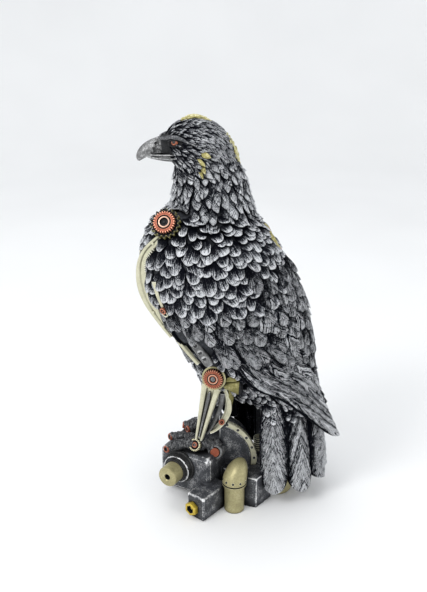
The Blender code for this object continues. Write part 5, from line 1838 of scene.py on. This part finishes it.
@dataclass
class Plinth:
    """The engine that the eagle stands on."""

    yaw: float = math.radians(48)
    engine_corner: tuple[float, float] = (16.5 * MM, -24.5 * MM)
    engine_yaw: float = math.radians(10)
    voxel: float = 0.62 * MM

    def __post_init__(self) -> None:
        """Finds the frames that the parts stand in."""
        self.whole = turned(self.yaw)
        self.engine = self.whole @ moved(*self.engine_corner) @ turned(self.engine_yaw)

    def build(self) -> None:
        """Builds the pieces."""
        self.casting()
        self.nozzle()
        self.nut()
        self.pipe()
        self.drum()
        self.band()
        self.coil()
        self.plug()

    def casting(self) -> None:
        """The engine's rough casting, with softened edges, washers, bolts and ribs."""
        made = remeshed("plinth", self.voxel, 3, 0.35 * MM, 0.55, 4.0 * MM)
        made.name = "casting"
        finish_mesh("casting", made, (Finishes.ENGINE,), ("plinth",), 70.0)

    def nozzle(self) -> None:
        """The nozzle on its stepped washers."""
        seat = self.engine @ moved(x=-24.8 * MM, z=27.2 * MM) @ turned(math.radians(90), "X")
        profile = ((0, 5.6, 0), (6.6, 5.6, 1), (6.9, 5.8, 0), (7.5, 6.4, 0), (7.5, 16.4, 0), (7.2, 17.2, 0))
        profile += ((6.6, 17.6, 0), (2.9, 17.6, 0), (2.2, 17.0, 0), (2.0, 12.0, 1), (0, 11.8, 1))
        turn_piece("nozzle", profile, seat, 56, (Finishes.BRASS, Finishes.BLACK_PAINT_AND_SHADE))
        steps = ((0, -1), (12.4, -1), (12.4, 0.9), (12.0, 1.4), (10.9, 1.6), (10.7, 2.0), (10.7, 4.6))
        steps += ((10.3, 5.2), (9.6, 5.5), (8.8, 5.5), (8.4, 6.2), (8.2, 7.6), (7.4, 7.8), (0, 7.8))
        turn_piece("nozzle_washers", [(*step, 0) for step in steps], seat, 56, (Finishes.DARK_STEEL,), ("plinth",))

    def nut(self) -> None:
        """The hexagonal nut on the low box."""
        radius, foot, rise = 5.2, 1.8, 3.2
        low, high = (Vector(corner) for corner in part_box("hex_nut"))
        seat = aligned((low + high) / 2, (self.whole @ turned(math.radians(90), "X")).to_3x3() @ UP)
        part = bmesh.new()
        bmesh.ops.create_circle(part, cap_ends=True, radius=radius * MM, segments=6)
        (face,) = part.faces
        made = bmesh.ops.extrude_face_region(part, geom=[face])["geom"]
        top = next(g for g in made if isinstance(g, bmesh.types.BMFace))
        bmesh.ops.translate(part, verts=part.verts, vec=(0, 0, -foot * MM))
        bmesh.ops.translate(part, verts=top.verts, vec=(0, 0, rise * MM))
        rings = ((0.90, 3.7, 0), (0.62, 3.7, 0), (0.56, 1.0, 1), (0.30, 0.6, 1), (0.18, 1.6, 0))
        for share, height, material in rings:
            (top,) = bmesh.ops.extrude_discrete_faces(part, faces=[top])["faces"]
            for vert in top.verts:
                vert.co = vert.co.xy.normalized().to_3d() * share * radius * MM
                vert.co.z = (height - foot) * MM
            for edge in top.edges:
                for near in edge.link_faces:
                    near.material_index = material
        long = [e for e in part.edges if e.calc_length() > 3 * MM]
        bmesh.ops.bevel(part, geom=long, offset=0.25 * MM, segments=2, affect="EDGES", profile=0.5)
        bmesh.ops.transform(part, matrix=seat, verts=part.verts)
        finish_piece("hex_nut", part, (Finishes.YELLOW, Finishes.BLACK_PAINT_AND_SHADE))

    def pipe(self) -> None:
        """The standpipe and its leaning dome, drilled round the brim."""
        seat = self.whole @ moved(31.1 * MM, -13.6 * MM)
        profile = ((0, 0, 0), (6.9, 0, 0), (7.3, 0.5, 0), (7.3, 20.2, 0), (7.0, 20.5, 0), (0, 20.5, 0))
        turn_piece("standpipe", profile, seat, 56, (Finishes.BRASS,))
        dome = bmesh.new()
        low = seat @ moved(z=20.8 * MM)
        count = 15
        profile = [(0, 0, 0), (8.2, 0, 0), (8.8, 0.4, 0), (8.8, 1.2, 0), (8.3, 1.5, 1), (8.3, 1.9, 1)]
        profile.append((8.8, 2.3, 0))
        for k in range(count):
            a = 0.5 * math.pi * k / (count - 1)
            profile.append((8.8 * math.cos(a) ** 0.85, 3.0 + 14.6 * math.sin(a), 0))
        part = bmesh.new()
        lathe(part, profile, Matrix.Identity(4), 56)
        for vert in part.verts:
            rise = max(vert.co.z - 2.3 * MM, 0.0) / (15.3 * MM)
            vert.co.y += 7.0 * MM * rise**1.5
        bmesh.ops.transform(part, matrix=low, verts=part.verts)
        join(dome, part)
        for k in range(10):
            a = 2 * math.pi * (k + 0.35) / 10
            out = (low.to_3x3() @ Vector((math.cos(a), math.sin(a), 0.25))).normalized()
            centre = low @ Vector((8.55 * math.cos(a) * MM, 8.55 * math.sin(a) * MM + 0.25 * MM, 4.6 * MM))
            hole = ((0, -0.4, 1), (0.85, -0.4, 1), (0.85, 0.22, 1), (0, 0.26, 1))
            lathe(dome, hole, aligned(centre, out), 14)
        finish_piece("pipe_dome", dome, (Finishes.BRASS, Finishes.BLACK_PAINT_AND_SHADE))

    def drum(self) -> None:
        """The low drum behind."""
        seat = self.whole @ moved(36.9 * MM, 28.8 * MM)
        profile = ((0, 0, 0), (12.1, 0, 0), (12.5, 0.5, 0), (12.5, 7.8, 0), (12.0, 8.6, 0), (11.0, 9.1, 0))
        profile += ((10.2, 9.1, 0), (9.8, 8.5, 1), (8.6, 8.5, 1), (8.2, 9.0, 0), (0, 9.2, 0))
        turn_piece("rear_drum", profile, seat, 56, (Finishes.BRASS, Finishes.BLACK_PAINT_AND_SHADE))

    def band(self) -> None:
        """The drilled brass band on the wheel's rim."""
        bm = bmesh.new()
        centre = Vector((0, -2.5 * MM, 28.0 * MM))
        radius, width, thick, proud = 32.5, 3.4, 3.2, 1.4
        left = 10.0
        count = 40
        angles = [math.radians(-22 + 90 * k / (count - 1)) for k in range(count)]
        outs = [Vector((0, math.cos(a), math.sin(a))) for a in angles]
        path = [centre + out * (radius + proud - 0.5 * thick) * MM for out in outs]
        path = [Vector((left * MM - 0.2 * MM, p.y, p.z)) for p in path]
        ahead = Vector((1, 0, 0))
        sweep(bm, path, ahead, bevelled(0.3, 0.36), thick * 1.25 * MM, width * MM)
        for k in range(4, count, 7):
            drilled(bm, path[k] + ahead * (0.5 * width * MM + 0.05 * MM), ahead, 0.95 * MM, 1)
        for k in range(2, count - 1, 2):
            rivet(bm, path[k] + outs[k] * 0.62 * thick * MM, outs[k], 0.5 * MM, 0)
        finish_piece("rim_band", bm, (Finishes.PALE_BRASS, Finishes.BLACK_PAINT_AND_SHADE))

    def coil(self) -> None:
        """The ribbed brass column between the wheel and the step."""
        seat = self.whole @ moved(18.5 * MM, 31.5 * MM, 24.3 * MM)
        profile = [(0.0, -0.5, 0), (3.4, -0.5, 0)]
        for k in range(6):
            z = 0.4 + 1.8 * k
            profile += [(3.4, z, 0), (3.7, z + 0.45, 0), (3.4, z + 0.9, 0), (2.9, z + 1.2, 1)]
        profile += [(3.2, 10.8, 0), (0, 10.9, 0)]
        turn_piece("ribbed_coil", profile, seat, 32, (Finishes.PALE_BRASS, Finishes.BLACK_PAINT_AND_SHADE))

    def plug(self) -> None:
        """The copper plug in its steel collar."""
        seat = aligned(Vector((19.0, 0.5, 40.0)) * MM, Vector((0.95, -0.25, 0.30)))
        profile = ((0, -4, 0), (3.3, -4, 0), (3.4, 1.0, 0), (3.1, 1.6, 0), (2.2, 1.8, 0), (0, 1.75, 0))
        turn_piece("copper_plug", profile, seat, 32, (Finishes.COPPER,))
        profile = ((0, -9, 0), (5.8, -9, 0), (5.8, -3.2, 0), (5.3, -2.6, 0), (5.0, -2.4, 1), (5.0, -1.8, 1))
        profile += ((5.4, -1.4, 0), (5.4, 0.0, 0), (4.9, 0.6, 0), (4.0, 0.6, 0), (3.7, 0.0, 1))
        profile += ((0, -0.2, 1),)
        turn_piece("plug_collar", profile, seat, 32, (Finishes.STEEL, Finishes.BLACK_PAINT_AND_SHADE), ("plinth",))


class Studio:
    """The floor, the light and the camera."""

    CAMERA = (0.4997, -0.01745, 0.336)
    AIM = (70.0, 0.0, 88.0)
    LENS = 46.22

    def build(self) -> None:
        """Sets the stage."""
        self.floor()
        self.lights()
        camera = bpy.data.cameras.new("camera")
        camera.lens = self.LENS
        camera.clip_start = 0.01
        obj = bpy.data.objects.new("camera", camera)
        obj.location = self.CAMERA
        obj.rotation_euler = [math.radians(a) for a in self.AIM]
        bpy.context.scene.collection.objects.link(obj)
        bpy.context.scene.camera = obj

    def floor(self) -> None:
        """A pale floor that curves up into a backdrop on every side."""
        bm = bmesh.new()
        profile = [(0.0, 0.0), (1.2, 0.0)]
        steps = 12
        for k in range(1, steps + 1):
            a = 0.5 * math.pi * k / steps
            profile.append((1.2 + 0.8 * math.sin(a), 0.8 - 0.8 * math.cos(a)))
        profile.append((2.0, 1.0))
        verts = [bm.verts.new((r, 0, z)) for r, z in profile]
        edges = [bm.edges.new(pair) for pair in zip(verts, verts[1:])]
        bmesh.ops.spin(
            bm, geom=verts + edges, cent=(0, 0, 0), axis=UP, angle=2 * math.pi, steps=64, use_merge=True
        )
        bmesh.ops.remove_doubles(bm, verts=bm.verts, dist=1e-6)
        bmesh.ops.recalc_face_normals(bm, faces=bm.faces)
        bmesh.ops.reverse_faces(bm, faces=bm.faces)
        mesh = bpy.data.meshes.new("floor")
        bm.to_mesh(mesh)
        bm.free()
        mesh.shade_smooth()
        graph = Graph("pale_paper")
        stops = ((0.3, grey(0.86)), (0.7, grey(0.90)))
        graph.paint(
            Base_Color=graph.ramp(graph.noise(3.0, 2.0), *stops),
            Roughness=0.9,
            Emission_Color=(1.0, 1.0, 1.0, 1.0),
            Emission_Strength=0.05,
        )
        mesh.materials.append(graph.material)
        obj = bpy.data.objects.new("floor", mesh)
        bpy.context.scene.collection.objects.link(obj)

    def lights(self) -> None:
        """A white room with a big soft light above in front and a weaker one at the side."""
        world = bpy.data.worlds.new("white_room")
        world.use_nodes = True
        world.node_tree.nodes["Background"].inputs["Color"].default_value = (0.94, 0.97, 1.0, 1.0)
        world.node_tree.nodes["Background"].inputs["Strength"].default_value = 0.78
        bpy.context.scene.world = world
        self.lamp("key", (0.70, -0.85, 1.05), 0.5, 8.5)
        self.lamp("fill", (0.75, 0.85, 0.55), 0.8, 1.6)
        self.lamp("top", (-0.1, -0.1, 1.4), 0.7, 3.5)
        view = bpy.context.scene.view_settings
        view.view_transform = "Standard"
        view.look = "None"
        view.exposure = 0.0

    def lamp(self, name: str, place: tuple[float, float, float], size: float, power: float) -> None:
        """A square soft light that faces the figurine."""
        light = bpy.data.lights.new(name, "AREA")
        light.shape = "SQUARE"
        light.size = size
        light.energy = power
        obj = bpy.data.objects.new(name, light)
        obj.location = place
        aim = Vector((0, 0, 0.14)) - Vector(place)
        obj.rotation_euler = aim.to_track_quat("-Z", "Y").to_euler()
        bpy.context.scene.collection.objects.link(obj)


def main() -> None:
    """Dresses the whole figurine."""
    logging.basicConfig(level=logging.INFO, format="%(name)s: %(message)s")
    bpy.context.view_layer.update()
    Studio().build()
    skin = Skin()
    finish_mesh("under_feathers", skin.mesh, (Finishes.SHADOW, Finishes.BLACK_PAINT_AND_SHADE), ("eagle",), 60.0)
    plumage = Plumage(skin)
    plumage.head()
    plumage.gilded()
    plumage.body()
    plumage.wings()
    plumage.tail()
    plumage.legs()
    for builder in (Head(), Harness(), LeftLeg(), Feet(), Plinth()):
        builder.build()


if __name__ == "__main__":
    main()
